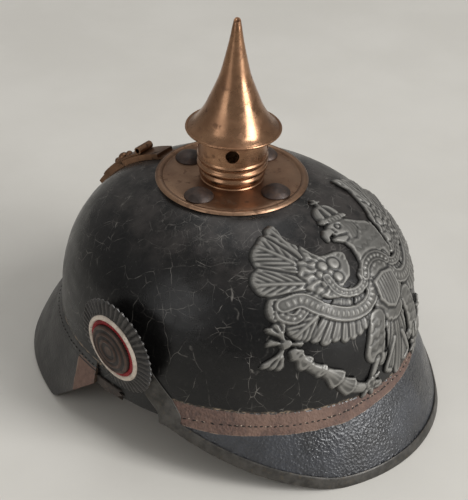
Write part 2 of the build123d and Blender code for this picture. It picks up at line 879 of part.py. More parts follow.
def cockade(side, word):
    """Write the four pieces of the cockade on one side."""
    with BuildPart() as disc:
        with BuildSketch(cockade_plane(side, 0)):
            with BuildLine():
                rim_points = []
                for k in range(2 * cockade_teeth):
                    radius = cockade_radius - tooth_depth * (k % 2)
                    turn = math.pi * k / cockade_teeth
                    rim_points.append((radius * math.cos(turn), radius * math.sin(turn)))
                Polyline(*rim_points, close=True)
            make_face()
        extrude(amount=cockade_sheet)
        with BuildSketch(cockade_plane(side, 0)):
            Circle(cockade_step_radius)
        extrude(amount=cockade_face)
        with BuildSketch(cockade_plane(side, 0)):
            Circle(post_radius)
        extrude(amount=cockade_face, mode=Mode.SUBTRACT)
    finish(disc, f"cockade_disc_{word}")
    with BuildPart() as ring:
        with BuildSketch(cockade_turn(side, cockade_face)):
            with Locations((white_radius, 0)):
                Circle(white_bead)
            with Locations((white_radius, -white_bead)):
                Rectangle(2 * white_bead, 2 * white_bead, mode=Mode.SUBTRACT)
        revolve(axis=cockade_axis(side))
    finish(ring, f"cockade_ring_{word}")
    with BuildPart() as core:
        with BuildSketch(cockade_plane(side, cockade_face)):
            Circle(white_radius - white_bead)
            Circle(boss_radius, mode=Mode.SUBTRACT)
        extrude(amount=core_rise)
    finish(core, f"cockade_core_{word}")
    with BuildPart() as boss:
        with BuildSketch(cockade_turn(side, cockade_face)):
            with BuildLine():
                crown = ThreePointArc(*cap_points(boss_radius, boss_edge, boss_rise))
                Polyline(crown @ 1, (0, 0), (boss_radius, 0), crown @ 0)
            make_face()
            for share in boss_ring_shares:
                with Locations((boss_radius * share, boss_rise - (boss_rise - boss_edge) * share**2)):
                    Circle(boss_bead)
            with Locations((0, 0)):
                Rectangle(2 * post_radius, 2 * post_reach, mode=Mode.SUBTRACT)
        revolve(axis=cockade_axis(side))
    finish(boss, f"cockade_boss_{word}")


cockade(-1, "right")
cockade(1, "left")

# Posts through the skull: a base on each is cut to the cockade's slope, and a stub carries the cockade
post_inside = post_seat - post_washer_stand - leather


def post_head(side):
    """Base of a post with its stub."""
    with BuildPart() as head:
        with BuildSketch(side_plane(side, post_seat)):
            Circle(post_base)
        extrude(amount=2 * (cockade_stand[side] - post_seat))
        split(bisect_by=cockade_plane(side, 0), keep=Keep.BOTTOM)
        with BuildSketch(cockade_plane(side, 0)):
            Circle(post_radius)
        extrude(amount=cockade_face + post_reach)
    return head.part


post_heads = [post_head(side) for side in (-1, 1)]
with BuildPart() as side_posts:
    for side in (-1, 1):
        with BuildSketch(side_plane(side, post_inside - post_washer_sheet - post_tail)):
            Circle(post_radius)
        extrude(amount=post_seat - post_inside + post_washer_sheet + post_tail)
    add(post_heads)
finish(side_posts, "side_posts")

with BuildPart() as post_washers:
    for side in (-1, 1):
        with BuildSketch(side_plane(side, post_inside - post_washer_sheet)):
            RegularPolygon(post_washer, 6)
            Circle(post_radius, mode=Mode.SUBTRACT)
        extrude(amount=post_washer_sheet)
finish(post_washers, "post_washers")

# Eagle plate: outlines drawn on a plane leaning with the dome, cut from thin layers of the dome's shape
lean = math.radians(eagle_tilt)
eagle_plane = Plane(origin=(0, 0, 0), x_dir=(1, 0, 0), z_dir=(0, -math.cos(lean), math.sin(lean)))


def petal(root, angle, reach, half_width):
    """One feather: a long ellipse from a root point outward at an angle."""
    turn = math.radians(angle)
    middle = (root[0] + reach / 2 * math.cos(turn), root[1] + reach / 2 * math.sin(turn))
    with Locations(Location((*middle, 0), (0, 0, angle))):
        Ellipse(reach / 2, half_width)


def mirrored(angle, side):
    """Angle of a feather on the left wing, or its mirror on the right wing."""
    return angle if side < 0 else 180 - angle


def bar(start, end, half_width):
    """Straight round-ended bar between two points."""
    middle = ((start[0] + end[0]) / 2, (start[1] + end[1]) / 2)
    length = math.hypot(end[0] - start[0], end[1] - start[1])
    with Locations(middle):
        SlotCenterToCenter(length, 2 * half_width, rotation=math.degrees(math.atan2(end[1] - start[1], end[0] - start[0])))


def cross(centre, arm, half_width):
    """Upright cross of two bars."""
    bar((centre[0] - arm, centre[1]), (centre[0] + arm, centre[1]), half_width)
    bar((centre[0], centre[1] - arm), (centre[0], centre[1] + arm), half_width)


def eagle_body():
    """Outlines of trunk, neck, head, beak, crown, thighs and shield's place."""
    with Locations((0, body_w)):
        Ellipse(body_half_width, body_half_height)
    bar((neck_x / 2, body_w), (neck_x, neck_w), neck_half)
    bar((neck_x, neck_w), (head_x, head_w), head_radius)
    with Locations((head_x - beak_length / 2, head_w - beak_half / 2)):
        Ellipse(beak_length, beak_half)
    with Locations((eagle_crown_x, eagle_crown_w)):
        Circle(eagle_crown_radius)
    for side in (-1, 1):
        with Locations(Location((side * thigh_x, thigh_w, 0), (0, 0, -side * spare))):
            Ellipse(thigh_half_width, thigh_half_height)
        with Locations((side * wing_x, wing_w)):
            Circle(shoulder_radius)


def eagle_prism(draw):
    """Straight prism through the dome over the outlines that draw() lays down."""
    with BuildPart() as prism:
        with BuildSketch(eagle_plane):
            draw()
        extrude(amount=reach_y)
    return prism.part


def eagle_outline():
    """Every outline of the plate."""
    eagle_body()
    for side in (-1, 1):
        for angle in upper_feathers:
            petal((side * wing_x, wing_w), mirrored(angle, side), wing_reach, feather_width)
        for angle in lower_feathers:
            petal((side * wing_x, wing_w), mirrored(angle, side), wing_reach * lower_reach_share, feather_width)
        with Locations((side * claw_x, claw_w)):
            Circle(claw_radius)
        bar((side * thigh_x, thigh_w), (side * claw_x, claw_w), rod_half)
    for angle in tail_feathers:
        petal((0, tail_w), angle, tail_reach, feather_width)
    bar((-claw_x, claw_w), (-sceptre_x, sceptre_w), rod_half)
    cross((-sceptre_x, sceptre_w), sceptre_arm, sceptre_arm_half)
    bar((claw_x, claw_w), (orb_x, orb_w), rod_half)
    with Locations((orb_x, orb_w)):
        Circle(orb_radius)
    cross((orb_x + orb_radius / 2, orb_w + orb_radius + orb_arm / 2), orb_arm, orb_arm_half)


ribbon_arc = SagittaArc((-ribbon_reach, ribbon_w), (ribbon_reach, ribbon_w), -ribbon_sag)


def eagle_raised():
    """Outlines that stand one step prouder."""
    eagle_body()
    SlotArc(ribbon_arc, 2 * ribbon_half)
    for side in (-1, 1):
        with Locations((side * claw_x, claw_w)):
            Circle(claw_radius)


def eagle_shield():
    """Outline of the breast shield."""
    with Locations((0, body_w)):
        Ellipse(shield_half_width, shield_half_height)


layer_one = wall(dome(eagle_gap + eagle_sheet, ear_height), dome(eagle_gap, ear_height))
layer_two = wall(dome(eagle_gap + eagle_sheet + eagle_relief, ear_height), dome(eagle_gap + eagle_sheet / 2, ear_height))
layer_three = wall(
    dome(eagle_gap + eagle_sheet + 2 * eagle_relief, ear_height), dome(eagle_gap + eagle_sheet, ear_height)
)
front_half = slab((-reach_y, 0), (0, dome_apex))
with BuildPart() as eagle_plate:
    for layer, draw in ((layer_one, eagle_outline), (layer_two, eagle_raised), (layer_three, eagle_shield)):
        with BuildPart(mode=Mode.PRIVATE) as cut_layer:
            add(eagle_prism(draw))
            add(layer, mode=Mode.INTERSECT)
        add(cut_layer.part)
finish(eagle_plate, "eagle_plate")

# Wire loops behind the eagle that reach through the skull, and the wedges that hold them
loop_tail = leather + wedge_thickness + loop_wire + 2 * loop_slot_gap
with BuildPart() as eagle_loops:
    for place, normal in loop_places:
        with BuildSketch(loop_plane(place, normal)):
            with Locations(((eagle_gap - loop_tail) / 2, 0)):
                Rectangle(loop_tail + eagle_gap, loop_width)
            with Locations(((eagle_gap - loop_tail) / 2, 0)):
                Rectangle(loop_tail + eagle_gap - 2 * loop_wire, loop_width - 2 * loop_wire, mode=Mode.SUBTRACT)
        extrude(amount=loop_wire / 2, both=True)
finish(eagle_loops, "eagle_loops")

with BuildPart() as eagle_wedges:
    for place, normal in loop_places:
        with BuildSketch(loop_plane(place, normal)):
            with Locations((-leather - wedge_thickness / 2 - loop_slot_gap, 0)):
                Rectangle(wedge_thickness - loop_slot_gap, loop_width - 2 * loop_wire - loop_slot_gap)
        extrude(amount=wedge_length / 2, both=True)
finish(eagle_wedges, "eagle_wedges")

# Sweatband
with BuildPart() as sweatband:
    with BuildSketch(Plane.XY.offset(band_low)):
        Ellipse(skull_half_width - band_stand, skull_half_length - band_stand)
        Ellipse(
            skull_half_width - band_stand - band_leather,
            skull_half_length - band_stand - band_leather,
            mode=Mode.SUBTRACT,
        )
    extrude(amount=band_high - band_low)
finish(sweatband, "sweatband")


def liner_bowl(inset):
    """Bowl that the liner's fingers follow, set in from the skull's widest oval."""
    with BuildPart() as bowl_body:
        for height, step in zip(finger_heights, finger_insets):
            with BuildSketch(Plane.XY.offset(height)):
                Ellipse(skull_half_width - inset - step, skull_half_length - inset - step)
        loft()
    return bowl_body.part


# Liner fingers, which lean in from the sweatband towards the crown
finger_inset = band_stand + band_leather + finger_gap
liner_shell = wall(liner_bowl(finger_inset), liner_bowl(finger_inset + finger_leather))
finger_corners = (
    (finger_tip_reach, -finger_tip / 2),
    (finger_root_reach, -finger_root / 2),
    (finger_root_reach, finger_root / 2),
    (finger_tip_reach, finger_tip / 2),
)
for k in range(finger_count):
    heading = (k + 1 / 2) * 360 / finger_count
    with BuildPart() as finger:
        with BuildSketch(Plane.XY.offset(band_low)):
            with BuildLine():
                centre = Vector(0, finger_middle)
                Polyline(*[centre + Vector(x, y).rotate(Axis.Z, heading) for x, y in finger_corners], close=True)
            make_face()
        extrude(amount=dome_apex)
        add(liner_shell, mode=Mode.INTERSECT)
    finish(finger, f"liner_finger_{k + 1}")
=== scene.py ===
import logging
import math
from dataclasses import dataclass, field
from functools import cache
from enum import Enum
from typing import Callable, Sequence

import bmesh
import bpy
import numpy as np
from mathutils import Matrix, Vector


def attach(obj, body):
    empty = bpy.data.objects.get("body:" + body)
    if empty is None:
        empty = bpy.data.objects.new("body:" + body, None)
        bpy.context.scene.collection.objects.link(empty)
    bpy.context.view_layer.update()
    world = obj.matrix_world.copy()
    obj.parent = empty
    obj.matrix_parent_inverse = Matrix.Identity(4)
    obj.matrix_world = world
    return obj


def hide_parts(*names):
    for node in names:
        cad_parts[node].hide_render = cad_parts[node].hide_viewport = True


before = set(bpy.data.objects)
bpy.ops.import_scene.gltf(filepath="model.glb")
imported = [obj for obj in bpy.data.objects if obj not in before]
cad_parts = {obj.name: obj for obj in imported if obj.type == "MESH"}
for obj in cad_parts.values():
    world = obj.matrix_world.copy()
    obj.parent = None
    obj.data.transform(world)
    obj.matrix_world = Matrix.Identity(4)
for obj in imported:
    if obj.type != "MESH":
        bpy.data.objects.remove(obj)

Array = np.ndarray
Point = tuple[float, float, float]
Colour = tuple[float, float, float]
Socket = bpy.types.NodeSocket
Surface = Callable[[Array, Array], Array]

MM = 0.001
MIDDLE_Y = 2.975
FULL_TURN = 2 * math.pi
MERGE_WITHIN = 2e-6
SLIVER = 1e-7
VISOR_TOP = 43.85
log = logging.getLogger("helmet")


class Body(Enum):
    """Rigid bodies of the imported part."""

    HELMET = "helmet"
    SPIKE = "spike"
    SLIDER = "slider"


class Side(Enum):
    """Side of the helmet, as the sign of X."""

    RIGHT = -1
    LEFT = 1

    @property
    def word(self) -> str:
        """The side's name in node names."""
        return "right" if self is Side.RIGHT else "left"


# Numbers and curves


def rounded(value: Array) -> Array:
    """Ease a 0..1 value in and out: three times its square less twice its cube."""
    value = np.clip(value, 0.0, 1.0)
    return value * value * (3 - 2 * value)


def ripple(a: Array, b: Array, seed: int, octaves: int = 4) -> Array:
    """Smooth uneven field of about -1..1: a sum of sine waves in seeded directions.

    Args:
        a: First coordinate, in waves of the lowest octave.
        b: Second coordinate.
        seed: Number that picks the directions and phases.
        octaves: How many doublings of frequency are summed.

    Returns:
        The field, in the shape of a and b.
    """
    rng = np.random.default_rng(seed)
    total = np.zeros(np.broadcast(a, b).shape)
    weight = 0.0
    for octave in range(octaves):
        for _ in range(3):
            turn, phase = rng.uniform(0, FULL_TURN, 2)
            rate = FULL_TURN * 2**octave * rng.uniform(0.8, 1.25)
            total += np.sin(rate * (a * math.cos(turn) + b * math.sin(turn)) + phase) / 2**octave
        weight += 1.7 / 2**octave
    return total / weight


def smooth_path(points: Sequence[Sequence[float]], count: int) -> Array:
    """Curve through given points: cubic pieces whose slope at a point is that of its neighbours' chord.

    Args:
        points: The points, in any dimension.
        count: Samples per piece.

    Returns:
        Array of samples, ends included.
    """
    knots = np.asarray(points, float)
    before = np.vstack([2 * knots[0] - knots[1], knots[:-1]])
    after = np.vstack([knots[1:], 2 * knots[-1] - knots[-2]])
    slopes = (after - before) / 2
    t = np.linspace(0, 1, count, endpoint=False)[:, None, None]
    start, end, lead, tail = knots[:-1], knots[1:], slopes[:-1], slopes[1:]
    body = (
        (2 * t**3 - 3 * t**2 + 1) * start
        + (t**3 - 2 * t**2 + t) * lead
        + (3 * t**2 - 2 * t**3) * end
        + (t**3 - t**2) * tail
    )
    return np.vstack([body.transpose(1, 0, 2).reshape(-1, knots.shape[1]), knots[-1]])


# Meshes


class Shape:
    """Collects grids of points in millimetres and turns them into one closed mesh in metres."""

    def __init__(self) -> None:
        """Start with no grids."""
        self.points: list[Array] = []
        self.quads: list[Array] = []
        self.corners: list[Array] = []
        self.marks: list[Array] = []
        self.kinds: list[Array] = []
        self.count = 0

    def patch(self, points: Array, quads: Array, uv: Array, mark: Array, kind: int = 0) -> None:
        """Add loose points and the quads between them.

        Args:
            points: Points (n, 3).
            quads: Indices (k, 4) into points.
            uv: Map coordinates of each point (n, 2).
            mark: One number per point, for the finish to read.
            kind: Which of the piece's finishes the quads take.
        """
        self.points.append(points)
        self.quads.append(quads + self.count)
        self.corners.append(uv[quads])
        self.marks.append(mark)
        self.kinds.append(np.full(len(quads), kind))
        self.count += len(points)

    def grid(self, points: Array, flip: bool = False, mark: Array | None = None, kind: int = 0) -> None:
        """Add a grid of quads.

        Args:
            points: Points (rows, columns, 3).
            flip: Turn the faces over.
            mark: Numbers (rows, columns) for the finish; zero if left out.
            kind: Which finish the grid takes.
        """
        rows, columns = points.shape[:2]
        index = np.arange(rows * columns).reshape(rows, columns)
        quads = np.stack([index[:-1, :-1], index[:-1, 1:], index[1:, 1:], index[1:, :-1]], -1).reshape(-1, 4)
        if flip:
            quads = quads[:, ::-1]
        uv = np.stack(np.meshgrid(np.linspace(0, 1, columns), np.linspace(0, 1, rows)), -1)
        if mark is None:
            mark = np.zeros((rows, columns))
        self.patch(points.reshape(-1, 3), quads, uv.reshape(-1, 2), mark.reshape(-1), kind)

    def shell(
        self,
        outer: Array,
        inner: Array,
        closed: bool = False,
        mark: Array | None = None,
        kind: int = 0,
    ) -> None:
        """Add a wall between two grids of one size, with strips over its borders.

        Args:
            outer: Outer grid of points.
            inner: Inner grid of points.
            closed: The last column meets the first, so only the rows' ends get strips.
            mark: Numbers for the finish, of both grids.
            kind: Which finish the wall takes.
        """
        self.grid(outer, mark=mark, kind=kind)
        self.grid(inner, flip=True, mark=mark, kind=kind)
        tone = np.zeros(outer.shape[:2]) if mark is None else mark
        strips = [(inner[0], outer[0], tone[0]), (outer[-1], inner[-1], tone[-1])]
        if not closed:
            strips += [(outer[:, 0], inner[:, 0], tone[:, 0]), (inner[:, -1], outer[:, -1], tone[:, -1])]
        for one, other, level in strips:
            self.grid(np.stack([one, other]), mark=np.stack([level, level]), kind=kind)

    def ends(self, tube: Array) -> None:
        """Close both ends of a tube whose rows are rings, each folded flat on itself.

        Args:
            tube: Grid (rings, points, 3) whose rings end where they start.
        """
        for ring in (tube[0], tube[-1]):
            half = len(ring) // 2
            self.grid(np.stack([ring[: half + 1], ring[half:][::-1]]))

    def build(
        self,
        name: str,
        finishes: Sequence["Finish"],
        body: Body,
        slot: str,
        nodes: Sequence[str] = (),
        sharp: float = 40.0,
    ) -> bpy.types.Object:
        """Make the mesh object, merge its seams, turn its faces outward and hang it on its body.

        Args:
            name: Object name.
            finishes: Finishes in the order of the kinds.
            body: Body that it moves with.
            slot: Material slot of the record; not used.
            nodes: Frame nodes that it stands for.
            sharp: Angle in degrees over which an edge stays sharp.

        Returns:
            The new object.
        """
        points = np.concatenate(self.points)
        points = (points - np.array([0, MIDDLE_Y, 0])) * MM
        quads = np.concatenate(self.quads)
        mesh = bpy.data.meshes.new(name)
        mesh.from_pydata(points.tolist(), [], quads.tolist())
        layer = mesh.uv_layers.new(name="UVMap")
        layer.data.foreach_set("uv", np.concatenate(self.corners).astype(np.float32).ravel())
        mark = mesh.attributes.new("mark", "FLOAT", "POINT")
        mark.data.foreach_set("value", np.concatenate(self.marks).astype(np.float32))
        mesh.polygons.foreach_set("material_index", np.concatenate(self.kinds).astype(np.int32))
        draft = bmesh.new()
        draft.from_mesh(mesh)
        bmesh.ops.remove_doubles(draft, verts=draft.verts, dist=MERGE_WITHIN)
        bmesh.ops.dissolve_degenerate(draft, dist=SLIVER, edges=draft.edges)
        bmesh.ops.recalc_face_normals(draft, faces=draft.faces)
        draft.to_mesh(mesh)
        draft.free()
        mesh.shade_smooth()
        mesh.set_sharp_from_angle(angle=math.radians(sharp))
        piece = bpy.data.objects.new(name, mesh)
        bpy.context.scene.collection.objects.link(piece)
        for finish in finishes:
            mesh.materials.append(finish.material())
        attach(piece, body.value)
        if nodes:
            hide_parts(*nodes)
        log.info("%s: %d faces", name, len(mesh.polygons))
        return piece


def turned(profile: Array, steps: int, centre: Point, out: Point = (0, 0, 1)) -> Array:
    """Turn an outline round an axis: each (radius, height) goes to centre + radius round + height along it.

    Args:
        profile: Outline (n, 2) of radius and height.
        steps: Columns in a full turn.
        centre: Point on the axis at height zero.
        out: Unit vector along the axis.

    Returns:
        Grid (n, steps + 1, 3) whose last column repeats the first.
    """
    axis = np.asarray(out, float)
    side = np.array([0.0, 0.0, 1.0]) if abs(axis[2]) < 0.5 else np.array([1.0, 0.0, 0.0])
    other = np.cross(axis, side)
    angle = np.linspace(0, FULL_TURN, steps + 1)
    ring = np.cos(angle)[:, None] * side + np.sin(angle)[:, None] * other
    return np.asarray(centre) + profile[:, None, :1] * ring + profile[:, None, 1:] * axis


def field_shell(
    shape: Shape,
    across: Array,
    up: Array,
    field_value: Array,
    outer: Surface,
    inner: Surface,
    mark: Surface | None = None,
    closed: bool = False,
) -> None:
    """Add a wall that exists where a distance field on a flat chart is below zero.

    Cells whose four corners are inside are kept, and points on the border slide along the field's
    slope to its zero line, so the outline is smooth. The border gets side walls.

    Args:
        shape: Shape that takes the wall.
        across: Chart coordinates of the columns.
        up: Chart coordinates of the rows.
        field_value: Signed distance (rows, columns), in chart units.
        outer: Chart to space, for the front.
        inner: Chart to space, for the back.
        mark: Chart to a number for the finish.
        closed: The last column meets the first.
    """
    x, w = np.meshgrid(across, up)
    rise_w, rise_x = np.gradient(field_value, up, across)
    cells_in = (
        (field_value[:-1, :-1] < 0) & (field_value[:-1, 1:] < 0) & (field_value[1:, 1:] < 0)
        & (field_value[1:, :-1] < 0)
    )
    rows, columns = x.shape
    index = np.arange(rows * columns).reshape(rows, columns)
    quads = np.stack([index[:-1, :-1], index[:-1, 1:], index[1:, 1:], index[1:, :-1]], -1)[cells_in]
    edges = np.concatenate([quads[:, [0, 1]], quads[:, [1, 2]], quads[:, [2, 3]], quads[:, [3, 0]]])
    keys = np.sort(edges, 1)
    keys = keys[:, 0] * rows * columns + keys[:, 1]
    _, where, counts = np.unique(keys, return_inverse=True, return_counts=True)
    border = edges[counts[where] == 1]
    if closed:
        column = border % columns
        on_seam = ((column == 0) | (column == columns - 1)).all(1)
        border = border[~on_seam]
    rim = np.unique(border)
    flat_x, flat_w = x.ravel().copy(), w.ravel().copy()
    slope = np.maximum(rise_x.ravel()[rim] ** 2 + rise_w.ravel()[rim] ** 2, 0.25)
    step = np.clip(field_value.ravel()[rim] / slope, -1.5 * abs(across[1] - across[0]), 0)
    fixed = ((rim % columns == 0) | (rim % columns == columns - 1)) if closed else np.zeros(len(rim), bool)
    flat_x[rim] -= np.where(fixed, 0, step * rise_x.ravel()[rim])
    flat_w[rim] -= step * rise_w.ravel()[rim]
    used, compact = np.unique(quads, return_inverse=True)
    compact = compact.reshape(-1, 4)
    chart_x, chart_w = flat_x[used], flat_w[used]
    front, back = outer(chart_x, chart_w), inner(chart_x, chart_w)
    number = mark(chart_x, chart_w) if mark else np.zeros(len(used))
    uv = np.stack([chart_x, chart_w], -1)
    shape.patch(front, compact, uv, number)
    shape.patch(back, compact[:, ::-1], uv, np.zeros(len(used)))
    rim, place = np.unique(np.searchsorted(used, border), return_inverse=True)
    place, count = place.reshape(-1, 2), len(rim)
    walls = np.stack([place[:, 1], place[:, 0], place[:, 0] + count, place[:, 1] + count], -1)
    tones = np.concatenate([number[rim], np.zeros(count)])
    shape.patch(np.vstack([front[rim], back[rim]]), walls, np.vstack([uv[rim], uv[rim]]), tones)


# Finishes


class Tree:
    """Short calls for the nodes of one material."""

    def __init__(self, name: str) -> None:
        """Start a material with its shader and Object coordinates.

        Args:
            name: Material name.
        """
        self.material = bpy.data.materials.new(name)
        self.material.use_nodes = True
        self.nodes = self.material.node_tree.nodes
        self.links = self.material.node_tree.links
        self.shader = self.nodes["Principled BSDF"]
        self.place = self.nodes.new("ShaderNodeTexCoord").outputs["Object"]

    def feed(self, value: object, socket: Socket) -> None:
        """Link an output to a socket, or set the socket to a plain value.

        Args:
            value: Output to link, or plain value.
            socket: Socket that takes it.
        """
        if isinstance(value, Socket):
            self.links.new(value, socket)
        else:
            socket.default_value = value

    def scaled(self, scale: Point, source: Socket | None = None) -> Socket:
        """Coordinates stretched by a factor per axis.

        Args:
            scale: Factor per axis.
            source: Coordinates; the Object ones if left out.

        Returns:
            The stretched coordinates.
        """
        node = self.nodes.new("ShaderNodeMapping")
        node.inputs["Scale"].default_value = scale
        self.links.new(source or self.place, node.inputs["Vector"])
        return node.outputs["Vector"]

    def noise(
        self, scale: float, detail: float = 3.0, rough: float = 0.55, source: Socket | None = None
    ) -> Socket:
        """Noise of 0..1 at a number of waves per metre.

        Args:
            scale: Waves per unit of the coordinates.
            detail: How many octaves.
            rough: Weight of the finer octaves.
            source: Coordinates; the Object ones if left out.

        Returns:
            The noise.
        """
        node = self.nodes.new("ShaderNodeTexNoise")
        node.inputs["Scale"].default_value = scale
        node.inputs["Detail"].default_value = detail
        node.inputs["Roughness"].default_value = rough
        self.links.new(source or self.place, node.inputs["Vector"])
        return node.outputs["Fac"]

    def cells(self, scale: float, source: Socket | None = None, feature: str = "DISTANCE_TO_EDGE") -> Socket:
        """Cell pattern: distance to the nearest cell border or centre.

        Args:
            scale: Cells per unit of the coordinates.
            source: Coordinates; the Object ones if left out.
            feature: DISTANCE_TO_EDGE, or F1 for the nearest centre.

        Returns:
            The distance.
        """
        node = self.nodes.new("ShaderNodeTexVoronoi")
        node.feature = feature
        node.inputs["Scale"].default_value = scale
        self.links.new(source or self.place, node.inputs["Vector"])
        return node.outputs["Distance"]

    def warped(self, amount: float, scale: float) -> Socket:
        """Coordinates pushed about by a coloured noise.

        Args:
            amount: How far a point is pushed, in metres.
            scale: Waves per metre.

        Returns:
            The pushed coordinates.
        """
        node = self.nodes.new("ShaderNodeTexNoise")
        node.inputs["Scale"].default_value = scale
        node.inputs["Detail"].default_value = 3.0
        self.links.new(self.place, node.inputs["Vector"])
        centred = self.vector("SUBTRACT", node.outputs["Color"], (0.5, 0.5, 0.5))
        return self.vector("ADD", self.place, self.vector("SCALE", centred, amount))

    def vector(self, kind: str, a: object, b: object) -> Socket:
        """One vector operation.

        Args:
            kind: Operation.
            a: First input.
            b: Second input, or SCALE's factor.

        Returns:
            The vector.
        """
        node = self.nodes.new("ShaderNodeVectorMath")
        node.operation = kind
        self.feed(a, node.inputs[0])
        if kind == "SCALE":
            self.feed(b, node.inputs["Scale"])
        else:
            self.feed(b, node.inputs[1])
        return node.outputs["Vector"]

    def sum(self, kind: str, a: object, b: object = 0.0) -> Socket:
        """One arithmetic operation.

        Args:
            kind: Operation.
            a: First input.
            b: Second input.

        Returns:
            The number.
        """
        node = self.nodes.new("ShaderNodeMath")
        node.operation = kind
        self.feed(a, node.inputs[0])
        self.feed(b, node.inputs[1])
        return node.outputs["Value"]

    def axis(self, letter: str) -> Socket:
        """One of the Object coordinates.

        Args:
            letter: X, Y or Z.

        Returns:
            The coordinate.
        """
        node = self.nodes.new("ShaderNodeSeparateXYZ")
        self.links.new(self.place, node.inputs["Vector"])
        return node.outputs[letter]

    def between(self, value: object, low: float, high: float, start: float = 0.0, end: float = 1.0) -> Socket:
        """Map a value from low..high to start..end, smooth and clamped.

        Args:
            value: Number to map.
            low: Where the rise starts.
            high: Where it ends.
            start: Result at low.
            end: Result at high.

        Returns:
            The mapped number.
        """
        node = self.nodes.new("ShaderNodeMapRange")
        node.interpolation_type = "SMOOTHSTEP"
        for name, number in (("From Min", low), ("From Max", high), ("To Min", start), ("To Max", end)):
            node.inputs[name].default_value = number
        self.feed(value, node.inputs["Value"])
        return node.outputs["Result"]

    def mix(self, factor: object, a: object, b: object) -> Socket:
        """Mix two colours.

        Args:
            factor: Share of the second colour.
            a: First colour.
            b: Second colour.

        Returns:
            The colour.
        """
        node = self.nodes.new("ShaderNodeMix")
        node.data_type = "RGBA"
        self.feed(factor, node.inputs[0])
        for value, socket in ((a, node.inputs[6]), (b, node.inputs[7])):
            self.feed((*value, 1.0) if isinstance(value, tuple) else value, socket)
        return node.outputs[2]

    def number(self, name: str) -> Socket:
        """A number stored on the mesh.

        Args:
            name: Name of the mesh's attribute.

        Returns:
            The number at each point.
        """
        node = self.nodes.new("ShaderNodeAttribute")
        node.attribute_name = name
        return node.outputs["Fac"]

    def bump(self, height: object, strength: float, depth: float, under: Socket | None = None) -> Socket:
        """Bump from a height.

        Args:
            height: Height, 0..1.
            strength: Strength; below zero it presses in.
            depth: Depth in metres.
            under: Normal that it adds to.

        Returns:
            The bumped normal.
        """
        node = self.nodes.new("ShaderNodeBump")
        node.inputs["Strength"].default_value = strength
        node.inputs["Distance"].default_value = depth
        self.feed(height, node.inputs["Height"])
        if under is not None:
            self.links.new(under, node.inputs["Normal"])
        return node.outputs["Normal"]

    def finish(
        self, colour: object, roughness: object, normal: object = None, **levels: float
    ) -> bpy.types.Material:
        """Feed the shader and give the material.

        Args:
            colour: Base colour, or the output that gives it.
            roughness: Roughness, or the output that gives it.
            normal: Output with the bumped normal.
            levels: Plain values of further sockets, with spaces written as underscores.

        Returns:
            The material.
        """
        self.feed((*colour, 1.0) if isinstance(colour, tuple) else colour, self.shader.inputs["Base Color"])
        self.feed(roughness, self.shader.inputs["Roughness"])
        if normal is not None:
            self.links.new(normal, self.shader.inputs["Normal"])
        for name, value in levels.items():
            self.shader.inputs[name.replace("_", " ").title().replace("Ior", "IOR")].default_value = value
        return self.material


class Finish:
    """A surface finish that makes its material once."""

    name: str

    @cache
    def material(self) -> bpy.types.Material:
        """The material, made on first use."""
        return self.draw(Tree(self.name))

    def draw(self, tree: Tree) -> bpy.types.Material:
        """Lay out the nodes; each finish has its own."""
        raise NotImplementedError


